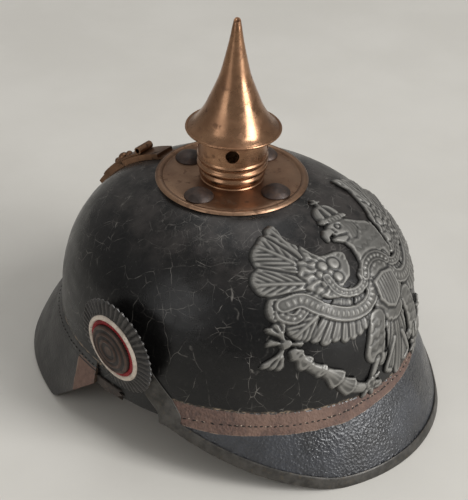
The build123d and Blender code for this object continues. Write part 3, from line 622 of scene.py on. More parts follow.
@dataclass(frozen=True)
class CrackedLacquer(Finish):
    """Old black lacquer: a web of hair cracks, rubbed patches, pale dust in the grain, and a lighter crown,
    partly faded lacquer and partly a painted sheen.
    """

    name: str = "cracked_lacquer"
    dark: Colour = (0.0028, 0.0028, 0.0031)
    faded: Colour = (0.0085, 0.0080, 0.0078)
    pale: Colour = (0.160, 0.150, 0.136)
    frayed: Colour = (0.42, 0.33, 0.24)
    seam: float = 0.044
    dust: Colour = (0.018, 0.017, 0.0165)
    # Lighter grey at the crown: partly faded lacquer, partly a painted sheen.
    crown_fade_and_sheen: Colour = (0.034, 0.030, 0.028)
    fibre: Colour = (0.10, 0.07, 0.045)

    def draw(self, tree: Tree) -> bpy.types.Material:
        """Three webs of cell borders broken up by noise, a grain, and a frayed edge at the seam.

        Args:
            tree: Calls for the material's nodes.

        Returns:
            The material.
        """
        bent = tree.warped(0.016, 30.0)
        tall = tree.scaled((1.0, 1.0, 0.42), bent)
        broad = tree.cells(70.0, tall)
        crossing = tree.cells(80.0, tree.scaled((0.8, 0.8, 1.35), tree.warped(0.012, 40.0)))
        fine = tree.cells(230.0, tree.warped(0.004, 140.0))
        patch = tree.noise(17.0, 3.0)
        broken = tree.between(tree.noise(120.0, 3.0), 0.38, 0.54)
        broad_line = tree.between(broad, 0.001, 0.013, 1.0, 0.0)
        crossing_line = tree.between(crossing, 0.001, 0.012, 1.0, 0.0)
        fine_line = tree.between(fine, 0.0, 0.030, 1.0, 0.0)
        broad_on = tree.sum(
            "MULTIPLY", tree.sum("MULTIPLY", broad_line, tree.between(patch, 0.40, 0.52)), broken
        )
        crossing_on = tree.sum("MULTIPLY", crossing_line, tree.between(tree.noise(26.0), 0.46, 0.58))
        crossing_on = tree.sum("MULTIPLY", crossing_on, broken)
        crown = tree.between(tree.axis("Z"), 0.100, 0.124)
        fine_on = tree.sum(
            "MULTIPLY", fine_line,
            tree.between(tree.sum("ADD", tree.noise(31.0), tree.sum("MULTIPLY", crown, 0.13)), 0.56, 0.68)
        )
        web = tree.sum(
            "MAXIMUM", tree.sum("MAXIMUM", broad_on, crossing_on), tree.sum("MULTIPLY", fine_on, 0.55)
        )
        scratch = tree.between(tree.noise(900.0, 2.0, 0.4, tree.scaled((1.0, 1.0, 0.05))), 0.70, 0.76)
        scratch = tree.sum("MULTIPLY", scratch, tree.between(tree.noise(60.0), 0.50, 0.60))
        sweep = tree.between(
            tree.noise(1.0, 2.0, 0.4, tree.scaled((60.0, 60.0, 900.0), tree.warped(0.03, 9.0))), 0.68, 0.73
        )
        sweep = tree.sum("MULTIPLY", sweep, tree.between(tree.noise(33.0), 0.52, 0.62))
        scratch = tree.sum("MULTIPLY", tree.sum("MAXIMUM", scratch, sweep), 0.4)
        speck = tree.between(tree.cells(520.0, feature="F1"), 0.05, 0.11, 1.0, 0.0)
        speck = tree.sum("MULTIPLY", speck, tree.between(tree.noise(90.0), 0.58, 0.66))
        base = tree.mix(tree.between(tree.noise(14.0, 4.0, 0.6), 0.35, 0.7), self.dark, self.faded)
        base = tree.mix(
            tree.sum("MULTIPLY", tree.between(tree.noise(420.0, 4.0, 0.7), 0.5, 0.75), 0.5), base, self.dust
        )
        # Lighten towards the crown: partly faded lacquer, partly a painted sheen.
        base = tree.mix(
            tree.sum("MULTIPLY", crown, tree.between(tree.noise(48.0, 4.0, 0.65), 0.35, 0.62)), base,
            self.crown_fade_and_sheen
        )
        lit = tree.sum(
            "MAXIMUM", tree.sum("MULTIPLY", web, tree.between(tree.noise(170.0), 0.35, 0.65)), scratch
        )
        lit = tree.sum("MULTIPLY", tree.sum("MAXIMUM", lit, speck), 0.85)
        colour = tree.mix(lit, base, self.pale)
        height = tree.axis("Z")
        ragged = tree.sum("ADD", height, tree.sum("MULTIPLY", tree.noise(160.0, 4.0, 0.7), -0.0042))
        edge = tree.between(ragged, self.seam - 0.0022, self.seam - 0.0008, 1.0, 0.0)
        edge = tree.sum("MULTIPLY", edge, tree.number("mark"))
        fibres = tree.mix(tree.noise(700.0, 3.0), self.fibre, self.frayed)
        colour = tree.mix(edge, colour, fibres)
        rough = tree.between(tree.noise(35.0, 5.0, 0.6), 0.3, 0.75, 0.23, 0.42)
        rough = tree.sum("MAXIMUM", rough, tree.sum("MULTIPLY", edge, 0.8))
        grain = tree.noise(1500.0, 2.0)
        swell = tree.noise(55.0, 3.0)
        normal = tree.bump(grain, 0.22, 0.00030)
        normal = tree.bump(swell, 0.22, 0.0012, normal)
        normal = tree.bump(web, -0.55, 0.0005, normal)
        return tree.finish(colour, rough, normal, specular_ior_level=0.32)


@dataclass(frozen=True)
class VisorLacquer(Finish):
    """Grained black lacquer over a visor, with bare leather in a band under the seam."""

    name: str = "visor_lacquer"
    dark: Colour = (0.010, 0.011, 0.014)
    light: Colour = (0.030, 0.033, 0.041)
    bare: Colour = (0.120, 0.064, 0.046)
    bare_dark: Colour = (0.060, 0.033, 0.025)
    grain_depth: float = 0.75
    pebbles: float = 620.0
    gloss: float = 0.25
    welt: float = 0.0
    rubbed: Colour = (0.155, 0.090, 0.064)
    torn: Colour = (0.25, 0.17, 0.12)
    # Near-black colour of the welt's pressed lines: painted shade in the grooves.
    crease: Colour = (0.004, 0.004, 0.004)

    def draw(self, tree: Tree) -> bpy.types.Material:
        """Fine pebbles and creases; where the mesh's number is near one the leather is bare.

        Args:
            tree: Calls for the material's nodes.

        Returns:
            The material.
        """
        pebble = tree.cells(self.pebbles, tree.warped(0.0018, 300.0), "F1")
        crease = tree.noise(420.0, 3.0, 0.6)
        lacquer = tree.mix(tree.between(tree.noise(40.0, 4.0), 0.35, 0.7), self.dark, self.light)
        fibre = tree.noise(420.0, 4.0, 0.7)
        leather = tree.mix(tree.between(fibre, 0.3, 0.7), self.bare_dark, self.bare)
        leather = tree.mix(tree.between(tree.noise(60.0), 0.4, 0.75), leather, self.rubbed)
        ragged = tree.sum(
            "ADD", tree.number("mark"),
            tree.sum("MULTIPLY", tree.sum("SUBTRACT", tree.noise(130.0, 4.0, 0.65), 0.5), 0.34)
        )
        bare = tree.between(ragged, 0.47, 0.53)
        rim = tree.sum("MULTIPLY", tree.between(ragged, 0.44, 0.5), tree.between(ragged, 0.5, 0.6, 1.0, 0.0))
        colour = tree.mix(bare, lacquer, leather)
        colour = tree.mix(
            tree.sum("MULTIPLY", rim, tree.between(tree.noise(300.0), 0.4, 0.6)), colour, self.torn
        )
        gloss = tree.between(tree.noise(55.0, 4.0), 0.35, 0.65, self.gloss, self.gloss + 0.16)
        rough = tree.sum("MAXIMUM", gloss, tree.sum("MULTIPLY", bare, 0.8))
        height = tree.sum("ADD", tree.sum("MULTIPLY", pebble, 0.8), crease)
        normal = tree.bump(height, self.grain_depth, 0.0006)
        normal = tree.bump(bare, -0.5, 0.0004, normal)
        normal = tree.bump(fibre, 0.15, 0.0004, normal)
        if self.welt > 0:
            bent = tree.sum("ADD", tree.axis("Z"), tree.sum("MULTIPLY", tree.noise(40.0, 2.0), 0.0012))
            upper = tree.between(
                tree.sum("ABSOLUTE", tree.sum("SUBTRACT", bent, self.welt)), 0.0002, 0.0006, 1.0, 0.0
            )
            lower = tree.between(
                tree.sum("ABSOLUTE", tree.sum("SUBTRACT", bent, self.welt - 0.0026)), 0.0002, 0.0006, 1.0, 0.0
            )
            line = tree.sum("MAXIMUM", upper, lower)
            # The welt's two pressed lines are coloured near black: painted shade in the grooves.
            colour = tree.mix(line, colour, self.crease)
            normal = tree.bump(line, -0.9, 0.0012, normal)
            raised = tree.between(bent, self.welt - 0.0034, self.welt - 0.0024)
            normal = tree.bump(raised, 0.6, 0.0014, normal)
        return tree.finish(colour, rough, normal, specular_ior_level=0.80)


@dataclass(frozen=True)
class WornLeather(Finish):
    """Plain leather: fibre grain, darker rubbed patches and small pores."""

    name: str
    light: Colour
    dark: Colour
    roughness: float = 0.62
    grain: float = 0.3

    def draw(self, tree: Tree) -> bpy.types.Material:
        """Patches from slow noise, pores from cells, fibres from stretched noise.

        Args:
            tree: Calls for the material's nodes.

        Returns:
            The material.
        """
        patch = tree.between(tree.noise(45.0, 4.0, 0.6), 0.3, 0.72)
        fibre = tree.noise(640.0, 3.0, 0.6)
        colour = tree.mix(patch, self.dark, self.light)
        colour = tree.mix(
            tree.sum("MULTIPLY", tree.between(fibre, 0.5, 0.7), 0.4), colour,
            tuple(min(1.0, 1.5 * c) for c in self.light)
        )
        pores = tree.cells(900.0, tree.warped(0.001, 500.0), "F1")
        normal = tree.bump(tree.sum("ADD", pores, fibre), self.grain, 0.0005)
        normal = tree.bump(tree.noise(80.0), 0.2, 0.001, normal)
        rough = tree.between(tree.noise(50.0), 0.3, 0.7, self.roughness - 0.1, self.roughness + 0.12)
        return tree.finish(colour, rough, normal, specular_ior_level=0.35)


@dataclass(frozen=True)
class TurnedBrass(Finish):
    """Polished copper-toned brass with fine turning lines and brown tarnish in blotches."""

    name: str = "turned_brass"
    bright: Colour = (0.44, 0.255, 0.150)
    deep: Colour = (0.27, 0.145, 0.083)
    brown: Colour = (0.085, 0.048, 0.032)
    roughness: float = 0.24
    tarnish: float = 0.5
    lines: float = 0.10

    def draw(self, tree: Tree) -> bpy.types.Material:
        """Lines come from noise stretched round the spike's axis; blotches from slow noise.

        Args:
            tree: Calls for the material's nodes.

        Returns:
            The material.
        """
        drawn = tree.scaled((6.0, 6.0, 900.0))
        line = tree.noise(1.0, 3.0, 0.7, drawn)
        blotch = tree.noise(38.0, 5.0, 0.65)
        spot = tree.between(tree.noise(190.0, 3.0, 0.6), 0.56, 0.70)
        colour = tree.mix(tree.between(blotch, 0.3, 0.7), self.bright, self.deep)
        colour = tree.mix(tree.sum("MULTIPLY", spot, self.tarnish), colour, self.brown)
        cloud = tree.between(tree.noise(75.0, 4.0), 0.3, 0.7, self.roughness - 0.05, self.roughness + 0.13)
        rough = tree.sum("ADD", cloud, tree.sum("MULTIPLY", spot, 0.2))
        normal = tree.bump(line, self.lines, 0.0003)
        normal = tree.bump(tree.noise(120.0, 3.0), 0.09, 0.0008, normal)
        return tree.finish(colour, rough, normal, metallic=1.0)


@dataclass(frozen=True)
class DullMetal(Finish):
    """Aged metal: mottled colour, specks of rust or dirt, a slightly uneven face."""

    name: str
    light: Colour
    dark: Colour
    speck: Colour = (0.10, 0.06, 0.035)
    metallic: float = 0.8
    roughness: float = 0.45
    # Share of painted shade laid into the hollows where the mesh's number is low.
    recess_shade: float = 0.0
    speck_share: float = 0.5
    unevenness: float = 0.2
    fine: float = 0.12
    mottle: float = 140.0
    mottle_detail: float = 5.0
    rubbed: float = 0.0
    hollow: Colour = (0.012, 0.012, 0.012)

    def draw(self, tree: Tree) -> bpy.types.Material:
        """Mottling from two noises; where the mesh's number is low the colour darkens towards `hollow` by the
        shade share, a painted shade in the hollows, and where it is high it lightens, rubbed wear that on the
        eagle is partly a painted highlight.

        Args:
            tree: Calls for the material's nodes.

        Returns:
            The material.
        """
        mottle = tree.noise(self.mottle, self.mottle_detail, 0.65)
        colour = tree.mix(tree.between(mottle, 0.32, 0.68), self.dark, self.light)
        dirt = tree.between(tree.noise(420.0, 3.0, 0.7), 0.55, 0.68)
        dirt = tree.sum("MULTIPLY", dirt, self.speck_share)
        colour = tree.mix(dirt, colour, self.speck)
        # Painted shade: the colour darkens where the mesh's number is low, in hollows and creases; the high
        # points lighten, rubbed wear that on the eagle is partly a painted highlight.
        if self.recess_shade > 0:
            colour = tree.mix(
                tree.between(tree.number("mark"), 0.10, 0.56, self.recess_shade, 0.0), colour, self.hollow
            )
            colour = tree.mix(
                tree.between(tree.number("mark"), 0.62, 0.95, 0.0, self.rubbed), colour,
                tuple(3.0 * c for c in self.light)
            )
        rough = tree.between(tree.noise(90.0, 4.0), 0.3, 0.7, self.roughness - 0.1, self.roughness + 0.12)
        rough = tree.sum("ADD", rough, tree.sum("MULTIPLY", dirt, 0.25))
        normal = tree.bump(tree.noise(260.0, 3.0), self.unevenness, 0.0006)
        normal = tree.bump(tree.noise(1100.0, 2.0), self.fine, 0.0002, normal)
        return tree.finish(colour, rough, normal, metallic=self.metallic)


@dataclass(frozen=True)
class OldPaint(Finish):
    """Brushed paint that has aged: streaks of grime, small chips, and painted shade in the hollows."""

    name: str
    colour: Colour
    grime: Colour
    chip: Colour = (0.06, 0.05, 0.04)
    roughness: float = 0.5
    chips: float = 0.5
    # Share of painted shade laid into the hollows where the mesh's number is low.
    recess_shade: float = 0.0
    hollow: Colour = (0.006, 0.005, 0.005)

    def draw(self, tree: Tree) -> bpy.types.Material:
        """Streaks and grime from noise; chips where a finer noise peaks.

        Args:
            tree: Calls for the material's nodes.

        Returns:
            The material.
        """
        streak = tree.noise(240.0, 4.0, 0.6)
        colour = tree.mix(tree.between(streak, 0.38, 0.75, 0.0, 0.7), self.colour, self.grime)
        chip = tree.between(tree.noise(330.0, 2.0, 0.5), 0.66, 0.70)
        chip = tree.sum("MULTIPLY", chip, self.chips)
        colour = tree.mix(chip, colour, self.chip)
        # Painted shade: the colour darkens towards `hollow` where the mesh's number is low.
        if self.recess_shade > 0:
            colour = tree.mix(
                tree.between(tree.number("mark"), 0.1, 0.7, self.recess_shade, 0.0), colour, self.hollow
            )
        rough = tree.between(streak, 0.3, 0.7, self.roughness - 0.08, self.roughness + 0.12)
        normal = tree.bump(streak, 0.25, 0.0004)
        normal = tree.bump(chip, -0.4, 0.0002, normal)
        return tree.finish(colour, rough, normal, specular_ior_level=0.3)


LACQUER = CrackedLacquer()
VISOR = VisorLacquer()
REAR_LEATHER = VisorLacquer(
    name="rear_lacquer",
    dark=(0.0125, 0.0120, 0.0115),
    light=(0.032, 0.029, 0.027),
    bare=(0.17, 0.095, 0.07),
    bare_dark=(0.10, 0.055, 0.04),
    grain_depth=0.35,
    pebbles=900.0,
    gloss=0.42,
    welt=0.0415,
)
EDGE_LEATHER = WornLeather("edge_leather", (0.17, 0.115, 0.080), (0.08, 0.055, 0.040), 0.7)
GREEN_LINING = WornLeather("green_lining", (0.050, 0.075, 0.040), (0.026, 0.040, 0.022), 0.6)
RED_LINING = WornLeather("red_lining", (0.15, 0.035, 0.025), (0.075, 0.02, 0.016), 0.6)
INNER_LEATHER = WornLeather("inner_leather", (0.16, 0.10, 0.06), (0.08, 0.05, 0.032), 0.75)
BROWN_LEATHER = WornLeather("binding_leather", (0.085, 0.062, 0.048), (0.032, 0.027, 0.024), 0.6)
TAN_LEATHER = WornLeather("tan_liner_leather", (0.40, 0.25, 0.14), (0.24, 0.145, 0.08), 0.68)
THREAD = WornLeather("dark_thread", (0.020, 0.016, 0.013), (0.008, 0.007, 0.006), 0.8)
PALE_THREAD = WornLeather("pale_thread", (0.42, 0.34, 0.27), (0.20, 0.15, 0.11), 0.85)
BRASS = TurnedBrass()
PLATE_BRASS = TurnedBrass(
    "plate_brass", (0.36, 0.225, 0.145), (0.22, 0.130, 0.083), roughness=0.36, lines=0.05
)
DULL_BRASS = TurnedBrass(
    "dull_brass", (0.22, 0.125, 0.075), (0.11, 0.064, 0.040), (0.036, 0.025, 0.018), roughness=0.38,
    tarnish=0.8, lines=0.04
)
BRONZE = DullMetal(
    "dark_bronze", (0.075, 0.050, 0.041), (0.030, 0.022, 0.019), metallic=0.45, roughness=0.46,
    unevenness=0.45
)
STEEL = DullMetal(
    "aged_trim_steel", (0.078, 0.073, 0.066), (0.032, 0.030, 0.027), (0.10, 0.08, 0.055), metallic=0.45,
    roughness=0.44
)
# The relief's hollows and cut edges darken: painted shade; its ridges lighten: rubbed wear and partly a
# painted highlight.
EAGLE_STEEL = DullMetal(
    "aged_eagle_steel",
    (0.120, 0.116, 0.107),
    (0.080, 0.077, 0.070),
    (0.085, 0.073, 0.060),
    metallic=0.35,
    roughness=0.46,
    recess_shade=0.80,
    speck_share=0.08,
    unevenness=0.10,
    fine=0.03,
    mottle=70.0,
    mottle_detail=2.0,
    rubbed=0.45,
)
# The pleats' valleys darken: painted shade; their crests lighten with rubbed wear.
BLACK_PAINT = DullMetal(
    "worn_black_paint", (0.036, 0.033, 0.031), (0.014, 0.013, 0.012), (0.09, 0.082, 0.075), metallic=0.3,
    roughness=0.42, recess_shade=0.50, rubbed=0.3
)
CREAM_PAINT = OldPaint("cream_paint", (0.62, 0.54, 0.46), (0.31, 0.25, 0.20), (0.07, 0.05, 0.04))
RED_PAINT = OldPaint("aged_red_paint", (0.27, 0.013, 0.017), (0.09, 0.007, 0.009), roughness=0.45)
# The grooves between the boss's ridges darken: painted shade.
BOSS_PAINT = OldPaint(
    "boss_lacquer", (0.078, 0.046, 0.034), (0.034, 0.021, 0.016), roughness=0.45, chips=0.2, recess_shade=0.85
)


# Forms shared by the pieces


@dataclass(frozen=True)
class HelmetForm:
    """The ovals of the dome and of both visors, in millimetres."""

    half_length: float = 107.5
    half_width: float = 96.0
    belt: float = 35.0
    apex: float = 134.5
    crown: float = 129.0
    power: float = 3.1
    leather: float = 3.0
    seam: float = 44.0
    bulge: float = 0.08
    front_spread: tuple[float, float] = (12.0, 19.5)
    rear_spread: tuple[float, float] = (9.0, 26.5)

    def size(self, share: Array) -> Array:
        """Share of the widest oval at a height share: the root of one less the share to a power."""
        return np.sqrt(np.clip(1 - np.clip(share, 0, 1) ** self.power, 1e-6, 1))

    def lean(self, share: Array) -> Array:
        """Angle of the wall's normal above level at a height share.

        Args:
            share: Height share, 0 at the belt and 1 at the apex.

        Returns:
            The angle in radians.
        """
        share = np.clip(share, 0, 0.999)
        slope = self.power / 2 * share ** (self.power - 1) / self.size(share)
        return np.arctan(slope * self.half_length / (self.apex - self.belt))

    def dome(self, share: Array, angle: Array, out: Array) -> Array:
        """Point of the dome by height share and angle from the front, `out` clear of the leather.

        Args:
            share: Height share.
            angle: Angle from the front in radians.
            out: Distance outside the leather.

        Returns:
            Points in the broadcast shape of the inputs.
        """
        size, lean = self.size(share), self.lean(share)
        x = (self.half_width * size + out * np.cos(lean)) * np.sin(angle)
        y = -(self.half_length * size + out * np.cos(lean)) * np.cos(angle)
        z = self.belt + (self.apex - self.belt) * share + out * np.sin(lean)
        return np.stack(np.broadcast_arrays(x, y, z), -1)

    def level(self, z: Array, out: Array) -> tuple[Array, Array]:
        """Half length and half width of the dome at a height, `out` clear of the leather.

        Args:
            z: Height.
            out: Distance outside the leather.

        Returns:
            Half length and half width.
        """
        share = np.clip((z - self.belt) / (self.apex - self.belt), 0, 0.985)
        size, far = self.size(share), out / np.cos(self.lean(share))
        return self.half_length * size + far, self.half_width * size + far

    def flare(self, z: Array, out: Array, front: bool) -> tuple[Array, Array]:
        """Half length and half width of a visor at a height, which bulges a little on its way down.

        Args:
            z: Height.
            out: Distance outside the leather.
            front: The front visor, not the rear one.

        Returns:
            Half length and half width.
        """
        t = np.clip((self.seam - z) / self.seam, 0, 1.1)
        spread = t + self.bulge * 4 * t * (1 - t)
        side, reach = self.front_spread if front else self.rear_spread
        return self.half_length + reach * spread + out, self.half_width + side * spread + out

    def side(self, y: Array, z: Array, out: float) -> Array:
        """Distance of the wall from the middle plane at (y, z), the visor's before its end, else the dome's.

        Args:
            y: Place along the helmet.
            z: Height.
            out: Distance outside the leather.

        Returns:
            The distance.
        """
        length, width = self.level(z, out)
        bowl = width * np.sqrt(np.clip(1 - (y / length) ** 2, 0, 1))
        length, width = self.flare(z, out, True)
        visor = width * np.sqrt(np.clip(1 - (y / length) ** 2, 0, 1))
        share = rounded((-17 - y) / 7) * (z < self.seam)
        return bowl + (np.maximum(visor, bowl) - bowl) * share


FORM = HelmetForm()
EAR_FRONT, EAR_BACK, EAR_HEIGHT = 24.0, 27.0, 30.5
FRONT_END = 25.05
SPIKE_Y = 6.5


@dataclass(frozen=True)
class Brim:
    """Lower edge of a visor in side view: a straight slope from the ear, a round corner, then level."""

    front: bool
    ear: float
    rest: float
    corner: float
    flat: float = 0.4
    halvings: int = 40

    def height(self, y: Array, rise: Array) -> Array:
        """Edge height at y, raised by `rise`; the corner is an arc that touches both lines.

        Args:
            y: Place along the helmet.
            rise: How far above the rest edge the lower end is.

        Returns:
            Height of the edge.
        """
        back = np.abs(y)
        low = rise - self.flat
        angle = math.atan((EAR_HEIGHT + self.flat) / (self.rest - self.ear))
        reach = self.corner * math.tan(angle / 2)
        slope = EAR_HEIGHT + rise - (back - self.ear) * math.tan(angle)
        arc = low + self.corner - np.sqrt(np.clip(self.corner**2 - (back - self.rest - reach) ** 2, 0, None))
        z = np.where(
            back < self.rest - reach * math.cos(angle), slope, np.where(back < self.rest + reach, arc, low)
        )
        return np.maximum(z, 0.0)

    def points(self, u: Array, out: Array, rise: Array, end: float, lift: Array, top: float) -> Array:
        """Points of the visor's wall: u runs -1..1 from ear to ear, lift 0..1 from the edge to the top.

        The angle at each height is u times that of the end plane, and the edge's height is found by
        halving, so the grid's rows stay level with the edge.

        Args:
            u: Place along the visor.
            out: Distance outside the leather's outer face.
            rise: How far above the rest edge the lower end is.
            end: Distance of the end plane from the middle.
            lift: Share of the way from the edge to the top.
            top: Height of the top.

        Returns:
            Points in the broadcast shape of the inputs.
        """
        u, out, rise, lift = np.broadcast_arrays(u, out, rise, lift)

        def place(z: Array) -> tuple[Array, Array]:
            """Place of the wall at a height.

            Args:
                z: Height.

            Returns:
                Distance across and distance from the middle.
            """
            length, width = FORM.flare(z, out, self.front)
            angle = u * np.arccos(end / length)
            return width * np.sin(angle), length * np.cos(angle)

        low, high = np.zeros(u.shape), np.full(u.shape, FORM.seam)
        for _ in range(self.halvings):
            middle = (low + high) / 2
            under = self.height(place(middle)[1], rise) > middle
            low, high = np.where(under, middle, low), np.where(under, high, middle)
        z = low + (top - low) * lift
        x, y = place(z)
        return np.stack([x, -y if self.front else y, z], -1)


FRONT_BRIM = Brim(True, EAR_FRONT, 111.0, 40.0)
REAR_BRIM = Brim(False, EAR_BACK, 64.0, 12.0)


def dress(node: str, finish: Finish) -> None:
    """Give a kept frame node one of the finishes.

    Args:
        node: Name of the frame node.
        finish: Finish that it takes.
    """
    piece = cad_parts[node]
    piece.data.materials.clear()
    piece.data.materials.append(finish.material())
    log.info("%s: kept with %s", node, finish.name)


# Leather


@dataclass
class Skull:
    """Domed leather bowl with lips under both visors."""

    rows: int = 84
    ripple_depth: float = 0.14
    hole: float = 16.7

    def angles(self) -> tuple[Array, list[int]]:
        """Column angles from the front, and the columns where the ears start and end.

        Returns:
            The angles, and the four ear columns between the first and the last column.
        """
        start = math.acos((EAR_FRONT - 0.15) / FORM.half_length)
        end = math.pi - math.acos((EAR_BACK - 0.15) / FORM.half_length)
        marks = [-start, start, end, FULL_TURN - end, FULL_TURN - start]
        counts = [200, 36, 130, 36]
        parts = [np.linspace(a, b, n, endpoint=False) for a, b, n in zip(marks, marks[1:], counts)]
        return np.concatenate([*parts, [marks[-1]]]), list(np.cumsum([0, *counts]))

    def bowl(self, rows: int, out: float, ripple_depth: float) -> Array:
        """Grid from the crown hole to the seam, with rows evenly spaced along the wall.

        Args:
            rows: Rows of the wall.
            out: Distance outside the leather's outer face.
            ripple_depth: Depth of the unevenness.

        Returns:
            Grid of points.
        """
        angle, _ = self.angles()
        share = np.linspace(0, 0.972, 4000)
        path = np.stack([FORM.half_length * FORM.size(share), (FORM.apex - FORM.belt) * share], -1)
        run = np.concatenate([[0], np.cumsum(np.linalg.norm(np.diff(path, axis=0), axis=1))])
        first = np.interp((FORM.seam - FORM.belt) / (FORM.apex - FORM.belt), share, run)
        share = np.interp(np.linspace(run[-1], first, rows), run, share)[:, None]
        uneven = (
            ripple(angle[None] / FULL_TURN * 5, share * 3, 11)
            + 0.6 * ripple(angle[None] * 2.4, share * 9, 12)
        )
        uneven = uneven * rounded((share - 0.1) * 12) * rounded((0.93 - share) * 8)
        wall = FORM.dome(share, angle[None], out + ripple_depth * uneven)
        top = FORM.crown + min(out, 0)
        wall[..., 2] = wall[..., 2] - 0.5 * np.logaddexp(0, (wall[..., 2] - top) / 0.5)
        centre = np.array([0.0, SPIKE_Y, top - 0.01])
        disc = centre + self.hole * np.stack([np.sin(angle), -np.cos(angle), 0 * angle], -1)
        share_in = np.linspace(0, 1, 8, endpoint=False)[:, None, None]
        flat = disc + (wall[0] - disc) * share_in
        return np.concatenate([flat, wall])

    def build(self) -> None:
        """Make the bowl, its ear sides and the two lips."""
        shape = Shape()
        outer, inner = self.bowl(self.rows, 0.0, self.ripple_depth), self.bowl(40, -FORM.leather, 0.0)
        angle, marks = self.angles()
        near = np.zeros(outer.shape[:2])
        near[-12:] = 1.0
        shape.grid(outer, flip=True, mark=near)
        shape.grid(inner, kind=1)
        shape.grid(np.stack([outer[0], inner[0]]), kind=1)
        for first, last in ((marks[0], marks[1]), (marks[2], marks[3])):
            span = slice(first, last + 1)
            shape.grid(np.stack([outer[-1, span], inner[-1, span]]), flip=True, kind=1)
        for first, last in ((marks[1], marks[2]), (marks[3], marks[4])):
            span = slice(first, last + 1)
            down = np.linspace(0, 1, 10)[:, None, None]
            fall = np.array([0, 0, EAR_HEIGHT - FORM.seam])
            wall = outer[-1:, span] + down * fall
            lining = inner[-1:, span] + down * fall
            shape.grid(wall, flip=True)
            shape.grid(lining, kind=1)
            shape.grid(np.stack([wall[-1], lining[-1]]), flip=True, kind=1)
            shape.grid(np.stack([wall[:, 0], lining[:, 0]]), kind=1)
            shape.grid(np.stack([wall[:, -1], lining[:, -1]]), kind=1)
        self.lip(shape, True, FRONT_END)
        self.lip(shape, False, EAR_BACK)
        shape.build("skull_shell", [LACQUER, INNER_LEATHER], Body.HELMET, "black_leather", ["skull"], 50)

    def lip(self, shape: Shape, front: bool, end: float) -> None:
        """Flange behind a visor: it follows the visor's inner face down 6 mm and stands 4 mm above the seam.

        Args:
            shape: Shape that takes it.
            front: Under the front visor, not the rear one.
            end: Distance of the end plane from the middle.
        """
        z = np.linspace(47.9, 38.0, 8)[:, None]
        u = np.linspace(-1, 1, 100)[None]

        def face(out: float) -> Array:
            """One face of the flange.

            Args:
                out: Distance outside the visor's outer face.

            Returns:
                Grid of points.
            """
            length, width = FORM.flare(z, out, front)
            angle = u * np.arccos(end / length)
            y = -length * np.cos(angle) if front else length * np.cos(angle)
            return np.stack(np.broadcast_arrays(width * np.sin(angle), y, z), -1)

        shape.shell(face(-3.15), face(-4.65), kind=1)


@dataclass
class Visor:
    """One flared leather visor resting on the table."""

    brim: Brim
    name: str
    finish: Finish
    lining: Finish
    slot: str
    end: float
    rise: float
    top: float = VISOR_TOP
    leather: float = 3.0
    columns: int = 260
    rows: int = 34
    band_angles: tuple[float, ...] = ()
    band_depths: tuple[float, ...] = ()
    edge_round: float = 0.9

    def wall(self, out: Array, lift: Array) -> Array:
        """Grid of wall points for rows of (distance outside, share of height)."""
        u = np.linspace(-1, 1, self.columns)[None]
        return self.brim.points(
            u, np.asarray(out)[:, None], self.rise, self.end, np.asarray(lift)[:, None], self.top
        )

    def bare_share(self, points: Array) -> Array:
        """One in the bare band under the seam, or near the rear visor's ends, through a half at its edge.

        Args:
            points: Points of the outer wall.

        Returns:
            The share, 0..1.
        """
        if not self.brim.front:
            return np.clip(0.5 + (17.0 - (points[..., 1] - self.end)) / 8.0, 0, 1) * (points[..., 2] < 39.5)
        angle = np.degrees(
            np.arctan2(points[..., 0] / FORM.half_width, np.abs(points[..., 1]) / FORM.half_length)
        )
        edge = np.interp(
            angle, self.band_angles, self.band_depths, left=self.band_depths[0], right=self.band_depths[-1]
        )
        return np.clip(0.5 + (edge - (self.top - points[..., 2])) / 3.0, 0, 1)

    def build(self) -> None:
        """Make the closed shell with softened edges."""
        shape = Shape()
        lift = np.linspace(1, 0, self.rows) ** 0.9
        lift[0], lift[-1] = 1, 0
        out = np.zeros(self.rows)
        out[-1] = -self.edge_round
        out[0] = -0.35
        outer, inner = self.wall(out, lift), self.wall(np.full(self.rows, -self.leather), lift)
        uneven = 0.12 * ripple(outer[..., 0] / 60, outer[..., 1] / 60 + outer[..., 2] / 25, 21)
        fade = (rounded(lift * 4) * rounded((1 - lift) * 6))[:, None]
        outer[..., :2] *= 1 + (uneven * fade / FORM.half_length)[..., None]
        mark = self.bare_share(outer)
        shape.grid(outer, mark=mark)
        shape.grid(inner, flip=True, kind=1)
        for one, other, kind in (
            (inner[0], outer[0], 0),
            (outer[-1], inner[-1], 2),
            (outer[:, 0], inner[:, 0], 2),
            (inner[:, -1], outer[:, -1], 2),
        ):
            shape.grid(np.stack([one, other]), kind=kind)
        shape.build(
            f"{self.name}_leather", [self.finish, self.lining, EDGE_LEATHER], Body.HELMET, self.slot,
            [self.name], 35
        )


